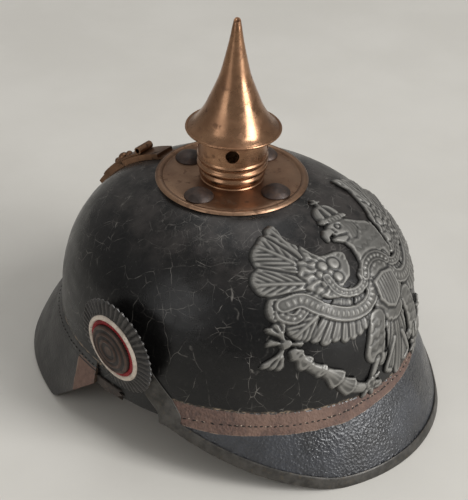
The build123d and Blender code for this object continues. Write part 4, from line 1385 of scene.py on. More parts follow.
@dataclass
class Stitches:
    """A row of short thread bars on a visor."""

    brim: Brim
    name: str
    angles: tuple[float, ...]
    heights: tuple[float, ...]
    count: int
    length: float
    thick: float
    finish: Finish
    seed: int
    slot: str
    skip: float = 0.0

    def build(self) -> None:
        """Lay each bar along the wall: a small rounded box stretched between two points of the row's line."""
        rng = np.random.default_rng(self.seed)
        angle = np.interp(np.linspace(0, 1, self.count), np.linspace(0, 1, len(self.angles)), self.angles)
        angle = np.radians(angle + rng.normal(0, 0.12, self.count))
        keep = rng.uniform(0, 1, self.count) >= self.skip
        angle = angle[keep]
        z = np.interp(np.degrees(angle), self.angles, self.heights) + rng.normal(0, 0.12, len(angle))
        sign = -1 if self.brim.front else 1

        def place(turn: Array, height: Array, out: float) -> Array:
            """Points of the wall by angle and height, `out` clear of it."""
            length, width = FORM.flare(height, out, self.brim.front)
            return np.stack([width * np.sin(turn), sign * length * np.cos(turn), height], -1)

        half = self.length / 2 / FORM.half_length * rng.uniform(0.75, 1.2, len(angle))
        tilt = rng.normal(0, 0.15, len(angle))
        steps = np.linspace(-1, 1, 6)
        round_share = np.sqrt(np.clip(1 - steps**2 * 0.96, 0, 1))
        ring = np.linspace(0, FULL_TURN, 7)
        turn = angle[:, None] + half[:, None] * steps
        height = z[:, None] + tilt[:, None] * steps
        core = place(turn, height, 0.0)
        across = place(turn, height + 0.5, 0.0) - core
        across /= np.linalg.norm(across, axis=-1, keepdims=True)
        normal = place(turn, height, 0.5) - core
        normal /= np.linalg.norm(normal, axis=-1, keepdims=True)
        shape = Shape()
        radius = self.thick * round_share[None, :, None, None]
        body = (
            core[:, :, None]
            + radius * np.cos(ring)[None, None, :, None] * across[:, :, None]
            + radius * np.sin(ring)[None, None, :, None] * normal[:, :, None] * 0.8
        )
        for bar in body:
            shape.grid(bar)
        shape.build(self.name, [self.finish], Body.HELMET, self.slot)


@dataclass
class EarBindings:
    """Leather strips folded over both ear edges, with ragged front ends."""

    starts: tuple[float, float] = (5.0, -12.5)
    end: float = 26.6
    leather: float = 1.1
    height: float = 35.4

    def build(self) -> None:
        """Carry a U outline along each ear edge; its end is pulled about by an uneven amount."""
        shape = Shape()
        out, gap = self.leather + 0.15, 0.15
        low = EAR_HEIGHT - out
        outline = [
            (out - 0.25, self.height), (out, self.height - 0.4), (out, low + 0.7), (out - 0.3, low + 0.15)
        ]
        outline += [(out - 1.0, low), (-2.0 - out, low), (-2.7 - out, low + 0.15), (-3 - out, low + 0.7)]
        outline += [(-3 - out, self.height), (-3 - gap, self.height), (-3 - gap, EAR_HEIGHT - gap)]
        outline += [(gap, EAR_HEIGHT - gap), (gap, self.height), (out - 0.25, self.height)]
        corners = np.array(outline)
        count = 12
        steps = np.linspace(0, 1, count, endpoint=False)[None, :, None]
        section = (corners[:-1, None] + (corners[1:] - corners[:-1])[:, None] * steps).reshape(-1, 2)
        section = np.vstack([section, section[:1]])
        for side, start in zip(Side, self.starts):
            along = np.linspace(0, 1, 70)[:, None]
            torn = 2.2 + 1.8 * ripple(section[:, 1] / 3.0 + side.value, section[:, 0] / 3.0, 31)
            torn[-1] = torn[0]
            y = start + torn[None] * (1 - along) ** 3 + (self.end - start) * along
            z = section[None, :, 1] + 0 * y
            swell = 0.12 * ripple(y / 9, z / 9, 32)
            length = (
                FORM.half_length + section[None, :, 0]
                + np.where(section[None, :, 0] > 0, np.minimum(swell, 0), 0)
            )
            width = length - FORM.half_length + FORM.half_width
            x = side.value * width * np.sqrt(1 - (y / length) ** 2)
            tube = np.stack([x, y, z], -1)
            shape.grid(tube)
            shape.ends(tube)
        shape.build("ear_binding_strips", [BROWN_LEATHER], Body.HELMET, "brown_leather", ["ear_bindings"], 50)


# Metal on the leather


@dataclass
class VisorTrim:
    """Folded steel channel round the front visor, with end caps and a tongue up to each cockade."""

    depth: float = 6.2
    sheet: float = 0.9
    gap: float = 0.15
    end: float = 24.0
    tongue_width: float = 14.0
    tongue_low: tuple[float, float] = (-27.0, 33.5)
    tongue_foot: float = 29.9
    tongue_y: float = 6.3
    tongue_tops: tuple[float, float] = (68.7, 65.0)

    def channel(self, shape: Shape) -> None:
        """Carry the U section along the brim: pairs of distance outside the leather and height of the edge.

        Args:
            shape: Shape that takes it.
        """
        out, depth = self.gap + self.sheet, self.depth
        section = np.array(
            [
                (out - 0.30, depth),
                (out - 0.02, depth - 0.35),
                (out, depth - 0.9),
                (out, depth * 0.55),
                (out, 0.75),
                (out - 0.25, 0.2),
                (out - 0.8, 0.0),
                (-1.5, 0.0),
                (-3 - out + 0.8, 0.0),
                (-3 - out + 0.2, 0.2),
                (-3 - out, 0.8),
                (-3 - out, depth),
                (-3 - self.gap, depth),
                (-3 - self.gap, self.sheet),
                (self.gap, self.sheet),
                (self.gap, depth - 0.2),
                (out - 0.30, depth),
            ]
        )
        u = np.linspace(-1, 1, 420)[:, None]
        tube = FRONT_BRIM.points(u, section[None, :, 0], section[None, :, 1], self.end, 0.0, FORM.seam)
        shape.grid(tube)
        shape.ends(tube)

    def cap(self, shape: Shape, side: Side) -> None:
        """Closed plate across one end of the channel, up to the seam.

        Args:
            shape: Shape that takes it.
            side: Side of the helmet.
        """
        lift = np.linspace(0, 1, 12)[:, None]
        out = np.array([-4.05, -3.6, 0.6, 1.05])[None]

        def face(end: float) -> Array:
            """One face of the plate."""
            return FRONT_BRIM.points(float(side.value), out, 0.0, end, lift, VISOR_TOP)

        shape.shell(face(self.end), face(self.end + self.sheet))

    def tongue(self, shape: Shape, side: Side) -> None:
        """Broad round-ended tongue on the wall: within half its width of its middle line, above its foot.

        Args:
            shape: Shape that takes it.
            side: Side of the helmet.
        """
        low = np.array(self.tongue_low)
        high = np.array([self.tongue_y, self.tongue_tops[side is Side.LEFT]])
        across, up = np.arange(-36.0, 19.0, 0.7), np.arange(25.0, 75.0, 0.7)
        y, z = np.meshgrid(across, up)
        line = high - low
        share = np.clip(((y - low[0]) * line[0] + (z - low[1]) * line[1]) / (line @ line), 0, 1)
        distance = np.hypot(
            y - low[0] - share * line[0], z - low[1] - share * line[1]
        ) - self.tongue_width / 2
        distance = np.maximum(distance, self.tongue_foot - z)

        def wall(out: float) -> Surface:
            """One face of the tongue, as a surface over its chart.

            Args:
                out: Distance outside the leather.

            Returns:
                Chart to space.
            """
            def face(y: Array, z: Array) -> Array:
                """Carry the chart onto the wall; the outer face falls a little towards its edge.

                Args:
                    y: Place along the helmet.
                    z: Height.

                Returns:
                    Points on the face.
                """
                line_share = np.clip(((y - low[0]) * line[0] + (z - low[1]) * line[1]) / (line @ line), 0, 1)
                gap = np.hypot(y - low[0] - line_share * line[0], z - low[1] - line_share * line[1])
                edge = rounded((self.tongue_width / 2 - gap) / 0.9)
                proud = out if out < 0.5 else out - 0.35 * (1 - edge)
                return np.stack([side.value * FORM.side(y, z, proud), y, z], -1)

            return face

        field_shell(shape, across, up, distance, wall(self.gap + self.sheet), wall(self.gap))

    def build(self) -> None:
        """Make the channel, both caps and both tongues as one piece."""
        shape = Shape()
        self.channel(shape)
        for side in Side:
            self.cap(shape, side)
            self.tongue(shape, side)
        shape.build("trim_channel", [STEEL], Body.HELMET, "trim_steel", ["visor_trim"], 45)


@dataclass
class SpikeBase:
    """Round plate with a rolled rim, four domed studs and the moulded collar."""

    low: float = 129.15
    top: float = 129.95
    radius: float = 43.1
    hole: float = 16.7
    stud_radius: float = 8.2
    stud_rise: float = 4.4
    stud_edge: float = 0.6
    stud_circle: float = 30.2
    grip: float = 4.85

    def plate(self) -> None:
        """Turn the plate's outline: flat, a shallow groove, a sharp step and the round rim."""
        rim_in, r = self.radius - 4.3, self.radius
        arc = np.linspace(0, 1, 14)
        bead = np.stack(
            [rim_in + 4.3 * arc, self.top - 0.25 + 1.30 * np.sin(np.pi * np.clip(arc, 0, 0.92)) ** 0.8], -1
        )
        bead[-1] = (r, self.low + 0.35)
        profile = [
            (self.hole, self.low), (self.hole, self.top), (18.6, self.top), (24, self.top), (30, self.top)
        ]
        profile += [
            (33.5, self.top), (34.6, self.top + 0.10), (35.6, self.top + 0.02), (37.6, self.top - 0.02)
        ]
        profile += [(38.2, self.top - 0.28), (38.7, self.top - 0.30), *map(tuple, bead)]
        profile += [(r - 0.4, self.low), (36, self.low), (26, self.low), (self.hole, self.low)]
        shape = Shape()
        shape.grid(turned(np.array(profile), 240, (0, SPIKE_Y, 0)))
        shape.build("base_plate", [PLATE_BRASS], Body.HELMET, "copper_brass", ["spike_base"], 50)

    def studs(self) -> None:
        """Turn four studs; each head is part of a ball, pulled about a little as if hammered."""
        ball = (
            (self.stud_radius**2 + (self.stud_rise - self.stud_edge) ** 2) / 2
            / (self.stud_rise - self.stud_edge)
        )
        turn = np.linspace(math.asin(self.stud_radius / ball), 0, 18)
        head = np.stack([ball * np.sin(turn), self.stud_rise - ball * (1 - np.cos(turn))], -1)
        head[0] = (self.stud_radius - 0.12, self.stud_edge + 0.08)
        stem = [(0, -self.grip - 0.9), (2.4, -self.grip - 0.9), (3, -self.grip - 0.5), (3, -self.grip)]
        stem += [(1.8, -self.grip), (1.8, 0), (self.stud_radius - 0.1, 0), (self.stud_radius, 0.12)]
        stem += [(self.stud_radius, self.stud_edge - 0.1)]
        profile = np.vstack([stem, head])
        shape = Shape()
        for number, (x, y) in enumerate(((0, 1), (0, -1), (1, 0), (-1, 0))):
            centre = (x * self.stud_circle, SPIKE_Y + y * self.stud_circle, self.top)
            grid = turned(profile, 64, centre)
            dent = 0.07 * ripple(grid[..., 0] / 6, grid[..., 1] / 6, 40 + number)
            dent[:, -1] = dent[:, 0]
            dent = np.where(grid[..., 2] > self.top + 0.4, dent, 0)
            dent[-1] = dent[-1, 0]
            grid[..., 2] += dent
            shape.grid(grid)
        shape.build("domed_studs", [BRONZE], Body.HELMET, "stud_bronze", ["base_studs"], 50)

    def collar(self) -> None:
        """Turn the collar's outline: a thin foot, a round bead, a groove, and a band with stepped edges."""
        z = self.top
        profile = [(16.55, z), (17.9, z), (18.0, z + 0.25), (17.55, z + 0.75), (17.6, z + 1.2)]
        turn = np.linspace(-1.2, 1.25, 11)
        profile += [(17.25 + 1.2 * math.cos(a), z + 3.4 + 2.35 * math.sin(a)) for a in turn]
        profile += [(17.5, z + 6.0), (17.45, z + 6.5), (17.85, z + 6.75)]
        turn = np.linspace(-1.15, 1.2, 11)
        profile += [(18.55 + 1.35 * math.cos(a), z + 8.9 + 1.9 * math.sin(a)) for a in turn]
        profile += [
            (18.75, z + 11.2), (18.8, z + 11.9), (19.3, z + 12.2), (19.45, z + 12.6), (19.4, z + 13.0)
        ]
        profile += [(19.2, z + 13.1), (16.55, z + 13.1), (16.55, z)]
        shape = Shape()
        shape.grid(turned(np.array(profile), 160, (0, SPIKE_Y, 0)))
        shape.build("moulded_collar", [BRASS], Body.HELMET, "copper_brass", ["base_collar"], 40)

    def build(self) -> None:
        """Make the plate, the studs and the collar."""
        self.plate()
        self.studs()
        self.collar()


@dataclass
class Spike:
    """Turning spike: vented drum with its inner sleeve, and the flared hollow point."""

    neck_low: float = 143.35
    neck_top: float = 159.85
    neck_radius: float = 19.3
    sheet: float = 0.8
    vent_radius: float = 3.7
    vent_height: float = 152.05
    vent_angle: float = 35.6
    flare: float = 26.8
    length: float = 65.0
    tip: float = 2.0
    side: tuple[tuple[float, float], ...] = (
        (0.8, 0.077),
        (0.62, 0.192),
        (0.475, 0.331),
        (0.336, 0.478),
        (0.252, 0.608),
        (0.145, 0.81),
    )

    def neck(self) -> None:
        """Drum wall on a chart of arc length and height, with four vents, a turned sleeve and a web."""
        shape = Shape()
        foot = self.neck_low
        ridge = [(14.04, 132.55), (14.94, 132.55), (14.94, foot), (19.5, foot), (19.9, foot + 0.3)]
        ridge += [
            (19.9, foot + 0.8), (19.6, foot + 1.15), (19.3, foot + 1.7), (18.5, foot + 1.7),
            (18.5, foot + 1.0)
        ]
        ridge += [(14.04, foot + 1.0), (14.04, 132.55)]
        shape.grid(turned(np.array(ridge), 160, (0, SPIKE_Y, 0)))
        rim = FULL_TURN * self.neck_radius
        across = np.linspace(0, rim, 300)
        low = foot + 1.2
        up = np.arange(low - 0.5, self.neck_top + 0.5, 0.4)
        s, z = np.meshgrid(across, up)
        value = np.abs(z - (low + self.neck_top) / 2) - (self.neck_top - low) / 2
        for number in range(4):
            centre = (self.vent_angle / 360 + number / 4) * rim
            gap = (s - centre + rim / 2) % rim - rim / 2
            value = np.maximum(value, self.vent_radius - np.hypot(gap, z - self.vent_height))

        def drum(radius: float) -> Surface:
            """One face of the drum, as a surface over its chart.

            Args:
                radius: Radius of the face.

            Returns:
                Chart to space.
            """
            def face(s: Array, z: Array) -> Array:
                """Roll the chart up into a tube."""
                turn = s / self.neck_radius
                return np.stack([radius * np.cos(turn), SPIKE_Y + radius * np.sin(turn), z], -1)

            return face

        field_shell(
            shape, across, up, value, drum(self.neck_radius), drum(self.neck_radius - self.sheet), closed=True
        )
        ring, tube = np.meshgrid(np.linspace(0, FULL_TURN, 49), np.linspace(0, FULL_TURN, 9))
        for number in range(4):
            centre = math.radians(self.vent_angle + 90 * number)
            reach = self.vent_radius + 0.25 + 0.28 * np.cos(tube)
            turn = centre + reach * np.cos(ring) / self.neck_radius
            radius = self.neck_radius + 0.28 * np.sin(tube)
            z = self.vent_height + reach * np.sin(ring)
            shape.grid(np.stack([radius * np.cos(turn), SPIKE_Y + radius * np.sin(turn), z], -1))
        shape.build("vented_neck", [BRASS], Body.SPIKE, "copper_brass", ["spike_neck"], 40)

    def cone(self) -> None:
        """Turn the point's outline and slant its cut tip."""
        z0, r0 = self.neck_top, self.flare
        turn = np.linspace(-1.2, math.pi / 2 + 0.5, 9)
        rim = [(r0 - 0.75 + 0.75 * math.cos(a), z0 + 0.75 + 0.75 * math.sin(a)) for a in turn]
        points = [(r0 - 1.35, z0 + 1.25), *[(r0 * a, z0 + self.length * h) for a, h in self.side]]
        points += [(self.tip, z0 + self.length - 0.6)]
        outside = smooth_path(points, 14)
        inside = smooth_path(
            [
                (1.2, z0 + self.length * 0.86), (2.6, z0 + 52.6), (5.4, z0 + 39.5), (11.4, z0 + 21.5),
                (17.7, z0)
            ],
            6
        )
        tip = [
            (self.tip - 0.25, z0 + self.length - 0.1), (self.tip - 0.8, z0 + self.length),
            (0.6, z0 + self.length - 0.5)
        ]
        tip += [(0.55, z0 + self.length - 3.0), (0.0, z0 + self.length - 3.2)]
        outer = np.vstack([[(0, z0 + self.length * 0.87)], inside, [(r0 - 1.6, z0)], rim, outside, tip])
        grid = turned(outer, 192, (0, SPIKE_Y, 0))
        x, y, z = grid[..., 0], grid[..., 1] - SPIKE_Y, grid[..., 2]
        view = np.array([0.81, 0.58])
        slant = (x * view[0] + y * view[1]) * 0.55 - 1.15
        grid[..., 2] = z + slant * rounded((z - (z0 + self.length - 7)) / 7)
        shape = Shape()
        shape.grid(grid)
        shape.build("flared_point", [BRASS], Body.SPIKE, "copper_brass", ["spike_cone"], 40)

    def build(self) -> None:
        """Make the neck and the point."""
        self.neck()
        self.cone()


@dataclass
class Slider:
    """Sliding vent cover: a curved strip with a curled pull and a knob."""

    y: float = 31.6
    z: float = 50.75
    low: float = 81.30
    sheet: float = 1.2
    width: float = 11.4
    start: float = 28.0
    end: float = 54.0
    curl: float = 2.3
    curl_sheet: float = 0.8
    knob: float = 3.2
    knob_place: float = 41.5

    def place(self, radius: Array, angle: Array, x: Array) -> Array:
        """Point by radius, angle back from straight up in degrees, and distance across."""
        turn = np.radians(angle)
        return np.stack(
            np.broadcast_arrays(x, self.y + radius * np.sin(turn), self.z + radius * np.cos(turn)), -1
        )

    def build(self) -> None:
        """Carry a rounded bar section along the arc, roll the pull, and turn the knob with its neck."""
        shape = Shape()
        half, low, top = self.width / 2, self.low, self.low + self.sheet
        section = np.array(
            [
                (-half, low + 0.1), (-half, top - 0.35), (-half + 0.35, top - 0.02), (-half + 1.0, top),
                (0, top - 0.1)
            ]
            + [
                (half - 1.0, top), (half - 0.35, top - 0.02), (half, top - 0.35), (half, low + 0.1),
                (half - 0.2, low)
            ]
            + [(0, low), (-half + 0.2, low), (-half, low + 0.1)]
        )
        angle = np.linspace(self.start - 0.4, self.end, 60)[:, None]
        taper = 1 - 0.12 * rounded((angle - self.end + 2) / 2)
        bar = self.place(section[None, :, 1], angle, section[None, :, 0] * taper)
        shape.grid(bar)
        shape.ends(bar)
        turn = np.linspace(-0.5 * math.pi, 1.25 * math.pi, 34)[:, None]
        centre = self.place(np.array(low + self.curl), np.array(self.start), np.array(0.0))
        along = (
            self.place(np.array(1.0), np.array(self.start - 90), np.array(0.0))
            - np.array([0, self.y, self.z])
        )
        up = self.place(np.array(1.0), np.array(self.start), np.array(0.0)) - np.array([0, self.y, self.z])
        across = np.linspace(-half, half, 12)[None]

        def roll(radius: float) -> Array:
            """One face of the curled pull.

            Args:
                radius: Radius of the face.

            Returns:
                Grid of points.
            """
            r = radius - 0.12 * rounded((turn - 2) / 3)
            rim = centre + (r * np.cos(turn))[..., None] * along + (r * np.sin(turn))[..., None] * up
            return rim + across[..., None] * np.array([1.0, 0, 0])

        shape.shell(roll(self.curl), roll(self.curl - self.curl_sheet))
        base = self.place(np.array(top - 0.6), np.array(self.knob_place), np.array(0.0))
        axis = (
            self.place(np.array(1.0), np.array(self.knob_place), np.array(0.0))
            - np.array([0, self.y, self.z])
        )
        arc = np.linspace(-0.25, math.pi / 2, 14)
        head = np.stack([self.knob * np.cos(arc), 1.0 + 2.6 * np.sin(arc)], -1)
        outline = np.vstack([[(0, 0), (2.4, 0), (2.2, 0.5)], head])
        outline[-1, 0] = 0
        shape.grid(turned(outline, 40, tuple(base), tuple(axis)))
        shape.build("vent_slider", [DULL_BRASS], Body.SLIDER, "spine_brass", ["spine_slider"], 40)


@dataclass
class Cockade:
    """Toothed pleated disc, raised ring, ribbed core and domed boss on one side."""

    side: Side
    z: float
    stand: float
    back: float
    down: float
    y: float = 6.3
    sheet: float = 0.8
    step: float = 2.0
    step_radius: float = 20.2
    radius: float = 28.7
    teeth: int = 44
    tooth_depth: float = 1.5
    ring: float = 18.4
    ring_bead: float = 1.45
    core_out: float = 16.95
    boss: float = 14.6

    @property
    def face(self) -> float:
        """Distance of the raised middle's face from the disc's back."""
        return self.sheet + self.step

    def point(self, radius: Array, turn: Array, lift: Array) -> Array:
        """Point by radius and turn round the cockade's axis and distance from the disc's back.

        The right cockade has been pushed askew: its axis turns a little to the back and down.

        Args:
            radius: Distance from the axis.
            turn: Angle round the axis.
            lift: Distance outward from the disc's back.

        Returns:
            Points in the broadcast shape of the inputs.
        """
        back, down = math.radians(self.back), math.radians(self.down)
        out = np.array(
            [
                self.side.value * math.cos(back) * math.cos(down), math.sin(back) * math.cos(down),
                -math.sin(down)
            ]
        )
        along = np.cross([0, 0, 1], out)
        along /= np.linalg.norm(along)
        up = np.cross(out, along)
        radius, turn, lift = np.broadcast_arrays(radius, turn, lift)
        middle = np.array([self.side.value * self.stand, self.y, self.z])
        across = np.cos(turn)[..., None] * along + np.sin(turn)[..., None] * up
        return middle + radius[..., None] * across + lift[..., None] * out

    def hang(self, shape: Shape, name: str, node: str, finish: Finish, slot: str) -> None:
        """Build a piece of this side, which stands for the side's frame node.

        Args:
            shape: Shape of the piece.
            name: Its name.
            node: The frame node's name.
            finish: Its finish.
            slot: Material slot of the record.
        """
        word = self.side.word
        shape.build(f"cockade_{name}_{word}", [finish], Body.HELMET, slot, [f"cockade_{node}_{word}"], 50)

    def wave(self, turn: Array, count: int, sharp: float) -> Array:
        """Rounded pleats, 0..1: a raised cosine to a power below one."""
        return (0.5 + 0.5 * np.cos(turn * count)) ** sharp

    def disc(self) -> None:
        """Polar sheet whose pleats grow outward and end in rounded uneven teeth."""
        turn = np.linspace(0, FULL_TURN, 12 * self.teeth + 1)[None]
        share = np.concatenate([np.linspace(0, 0.6, 6), np.linspace(0.64, 1, 22)])[:, None]
        seed = 60 + self.side.value
        loose = ripple(np.cos(turn), np.sin(turn), seed)
        pleat = self.wave(turn + 0.012 * loose, self.teeth, 0.6)
        edge = self.radius - self.tooth_depth * (1 - pleat) - 0.25 * (1 + loose) / 2
        radius = 2.2 + (edge - 2.2) * share
        grow = rounded((radius - self.step_radius + 0.6) / 2.0)
        lump = 0.16 * ripple(radius * np.cos(turn) / 9, radius * np.sin(turn) / 9, seed + 5)
        fall = np.clip((radius - self.step_radius) / (self.radius - self.step_radius), 0, 1) ** 0.7
        height = self.face - self.step * fall + grow * (0.85 * pleat - 0.48 + lump)
        height = height - 0.3 * rounded((radius - edge + 1.6) / 1.6)
        shape = Shape()
        outer = self.point(radius, turn, height)
        inner = self.point(radius, turn, 0 * height)
        # Number for the finish: low in the pleats' valleys, where the finish paints shade, high on their
        # crests.
        mark = grow * pleat + (1 - grow) * 0.5
        shape.shell(outer, inner, closed=True, mark=mark)
        self.hang(shape, "pleats", "disc", BLACK_PAINT, "black_metal")

    def raised_ring(self) -> None:
        """Half-round ring, a little uneven in width."""
        turn = np.linspace(0, FULL_TURN, 145)[None]
        arc = np.linspace(0, math.pi, 11)[:, None]
        uneven = 0.12 * ripple(np.cos(turn), np.sin(turn), 70 + self.side.value)
        radius = self.ring + (self.ring_bead + uneven) * np.cos(arc)
        grid = self.point(radius, turn, self.face + self.ring_bead * np.sin(arc))
        shape = Shape()
        shape.grid(grid)
        shape.grid(np.stack([grid[0], grid[-1]]))
        self.hang(shape, "white_ring", "ring", CREAM_PAINT, "white_paint")

    def core(self) -> None:
        """Flat band with fine radial ribs."""
        turn = np.linspace(0, FULL_TURN, 60 * 8 + 1)[None]
        radius = np.array([self.boss + 0.02, self.boss + 0.3, 15.6, self.core_out - 0.35, self.core_out])[
            :, None
        ]
        rib = self.wave(turn, 60, 0.7)
        lift = self.face + np.array([0.75, 0.95, 1.0, 0.95, 0.7])[:, None] * (0.85 + 0.35 * rib)
        shape = Shape()
        shape.shell(
            self.point(radius, turn, lift), self.point(radius, turn, self.face + 0 * lift), closed=True
        )
        finish = RED_PAINT if self.side is Side.RIGHT else BLACK_PAINT
        slot = "red_paint" if self.side is Side.RIGHT else "black_metal"
        self.hang(shape, "ribs", "core", finish, slot)

    def dome(self) -> None:
        """Turned boss: a low dome that carries three round ridges and a flat middle."""
        radius = np.concatenate([[self.boss], np.linspace(self.boss - 0.15, 0, 90)])
        share = radius / self.boss
        lift = 4.0 - 1.7 * share**3
        rings = 0 * radius
        for place, wide in ((0.93, 0.85), (0.68, 0.9), (0.42, 0.8)):
            rings = rings + np.exp(-(((radius - place * self.boss) / wide) ** 2))
        lift = lift + 0.85 * rings - 0.25
        lift = np.where(radius < 3.4, np.minimum(lift, 3.95), lift)
        lift[0] = 0.0
        # Number for the finish: high on the ridges, low between them, where the finish paints shade.
        tone = np.clip(np.where(radius < 3.0, 0.6, rings), 0, 1)[:, None] + 0 * radius[:, None]
        turn = np.linspace(0, FULL_TURN, 121)[None]
        grid = self.point(radius[:, None], turn, self.face + lift[:, None] + 0 * turn)
        shape = Shape()
        shape.grid(grid, mark=tone + 0 * turn)
        back = self.point(
            np.array([self.boss, 7.0, 0.0])[:, None], turn, self.face + np.zeros((3, 1)) + 0 * turn
        )
        shape.grid(back, flip=True)
        self.hang(shape, "boss_dome", "boss", BOSS_PAINT, "boss_brown")

    def build(self) -> None:
        """Make the four pieces."""
        self.disc()
        self.raised_ring()
        self.core()
        self.dome()


# Eagle plate

CHART_CELL = 0.42


@dataclass
class Relief:
    """A relief drawn on a flat chart: a signed outline, and a height above the plate's own sheet."""

    cell: float = CHART_CELL
    across: Array = field(default_factory=lambda: np.arange(-75.0, 76.0, CHART_CELL))
    up: Array = field(default_factory=lambda: np.arange(-31.0, 92.0, CHART_CELL))

    def __post_init__(self) -> None:
        """Lay out the chart, empty."""
        self.x, self.w = np.meshgrid(self.across, self.up)
        self.outline = np.full(self.x.shape, 50.0)
        self.height = np.zeros(self.x.shape)

    def line(self, a: Sequence[float], b: Sequence[float]) -> tuple[Array, Array, float]:
        """Share along a line, signed distance from it, and its length.

        Args:
            a: Start.
            b: End.

        Returns:
            The share, the signed distance and the length.
        """
        dx, dw = b[0] - a[0], b[1] - a[1]
        length = math.hypot(dx, dw)
        share = ((self.x - a[0]) * dx + (self.w - a[1]) * dw) / length**2
        off = ((self.x - a[0]) * -dw + (self.w - a[1]) * dx) / length
        return share, off, length

    def taper(self, a: Sequence[float], b: Sequence[float], wide: float, narrow: float) -> Array:
        """Signed distance to a bar whose half width goes from one value to another.

        Args:
            a: Start.
            b: End.
            wide: Half width at the start.
            narrow: Half width at the end.

        Returns:
            Signed distance.
        """
        share, _, _ = self.line(a, b)
        t = np.clip(share, 0, 1)
        gap = np.hypot(self.x - a[0] - t * (b[0] - a[0]), self.w - a[1] - t * (b[1] - a[1]))
        return gap - (wide + (narrow - wide) * t)

    def disc(self, centre: Sequence[float], rx: float, rw: float = 0.0, turn: float = 0.0) -> Array:
        """Signed distance to an ellipse, from its scaled radius.

        Args:
            centre: Centre.
            rx: First half axis.
            rw: Second half axis; the first one's if zero.
            turn: Turn in degrees.

        Returns:
            Signed distance.
        """
        rw = rw or rx
        c, s = math.cos(math.radians(turn)), math.sin(math.radians(turn))
        dx, dw = self.x - centre[0], self.w - centre[1]
        u, v = (dx * c + dw * s) / rx, (-dx * s + dw * c) / rw
        return (np.hypot(u, v) - 1) * min(rx, rw)

    def path(self, points: Sequence[Sequence[float]], count: int = 10) -> tuple[Array, Array, Array]:
        """Nearest distance to a smooth path, the length run to there, and the side as a signed distance.

        Args:
            points: Points of the path.
            count: Samples between two points.

        Returns:
            Distance, run and signed distance.
        """
        curve = smooth_path(points, count)
        run = np.concatenate([[0], np.cumsum(np.linalg.norm(np.diff(curve, axis=0), axis=1))])
        best = np.full(self.x.shape, 1e3)
        at, side = np.zeros(self.x.shape), np.zeros(self.x.shape)
        for a, b, start in zip(curve[:-1], curve[1:], run[:-1]):
            share, off, length = self.line(a, b)
            t = np.clip(share, 0, 1)
            gap = np.hypot(self.x - a[0] - t * (b[0] - a[0]), self.w - a[1] - t * (b[1] - a[1]))
            near = gap < best
            best = np.where(near, gap, best)
            at = np.where(near, start + t * length, at)
            side = np.where(near, np.sign(off) * gap, side)
        return best, at, side

    def inside(self, corners: Sequence[Sequence[float]]) -> Array:
        """Signed distance to a closed outline through the corners, negative inside by counting crossings.

        Args:
            corners: Corners of the outline.

        Returns:
            Signed distance.
        """
        ring = np.vstack([corners, corners[:1]])
        odd = np.zeros(self.x.shape, bool)
        best = np.full(self.x.shape, 1e3)
        for a, b in zip(ring[:-1], ring[1:]):
            crosses = (a[1] > self.w) != (b[1] > self.w)
            where = a[0] + (self.w - a[1]) / (b[1] - a[1] if b[1] != a[1] else 1e-9) * (b[0] - a[0])
            odd ^= crosses & (self.x < where)
            best = np.minimum(best, np.abs(self.taper(a, b, 0, 0)))
        return np.where(odd, -best, best)

    def add(self, distance: Array) -> None:
        """Let the plate be solid there."""
        self.outline = np.minimum(self.outline, distance)

    def cut(self, distance: Array) -> None:
        """Pierce the plate there."""
        self.outline = np.maximum(self.outline, -distance)

    def plate(self, distance: Array, height: Array, groove: float = 0.35, wide: float = 0.5) -> None:
        """Lay a form over what is there, with a groove pressed round it."""
        self.height = np.where(distance < 0, height, self.height)
        self.groove(distance, groove, wide)

    def lay(self, distance: Array, height: Array, groove: float = 0.35, wide: float = 0.5) -> None:
        """Lay a form as plate does and let the plate be solid there.

        Args:
            distance: Signed distance of the form.
            height: Its height.
            groove: Depth of the groove round it.
            wide: Width of the groove.
        """
        self.plate(distance, height, groove, wide)
        self.add(distance)

    def groove(self, distance: Array, depth: float, wide: float) -> None:
        """Press a line where a distance is zero."""
        self.height = self.height - depth * np.exp(-((distance / wide) ** 2))

    def feather(
        self,
        root: Sequence[float],
        tip: Sequence[float],
        half: float,
        height: float,
        barbs: float = 1.6,
        solid: bool = True,
        blunt: float = 0.42,
        bend: float = 0.0,
        lines: float = 0.0,
    ) -> None:
        """Lay a feather: half width grows as a power of the run from the root and rounds off at the tip.

        Its section is a low arch, a groove runs down its middle and barbs slope back from it on both sides.

        Args:
            root: Where it starts.
            tip: Where it ends.
            half: Largest half width.
            height: Height of the arch.
            barbs: Distance between barbs; zero leaves them out.
            solid: Adds to the plate's outline.
            blunt: Power of the rounding at the tip.
            bend: Sideways bow of its middle line.
            lines: Distance between lines along it; zero leaves them out.
        """
        share, off, length = self.line(root, tip)
        t = np.clip(share, 0, 1)
        off = off - bend * 4 * t * (1 - t)
        near_tip = np.clip((1 - t) * length / (half * 1.25), 0, 1)
        width = half * (0.45 + 0.55 * rounded(t * 1.6)) * np.sqrt(1 - (1 - near_tip) ** 2) ** (blunt / 0.5)
        distance = np.abs(off) - np.maximum(width, 0.02)
        distance = np.where(share > 1, np.hypot(off, (share - 1) * length), distance)
        distance = np.where(
            share < 0, np.hypot(np.maximum(np.abs(off) - half * 0.4, 0), share * length), distance
        )
        side = np.clip(np.abs(off) / np.maximum(width, 0.3), 0, 1)
        arch = height * (0.35 + 0.65 * np.sqrt(1 - side**2 * 0.97)) * (0.75 + 0.25 * t)
        arch = arch - 0.38 * np.exp(-((off / 0.34) ** 2))
        if barbs:
            slope = (share * length - np.abs(off) * 1.25) / barbs
            arch = arch + 0.2 * np.sin(FULL_TURN * slope) * rounded(side * 4) * rounded((1 - side) * 3)
        if lines:
            arch = arch + 0.26 * np.cos(off * FULL_TURN / lines) * rounded(share * 3)
        self.plate(distance, arch, 0.5, 0.38)
        if solid:
            self.add(distance)

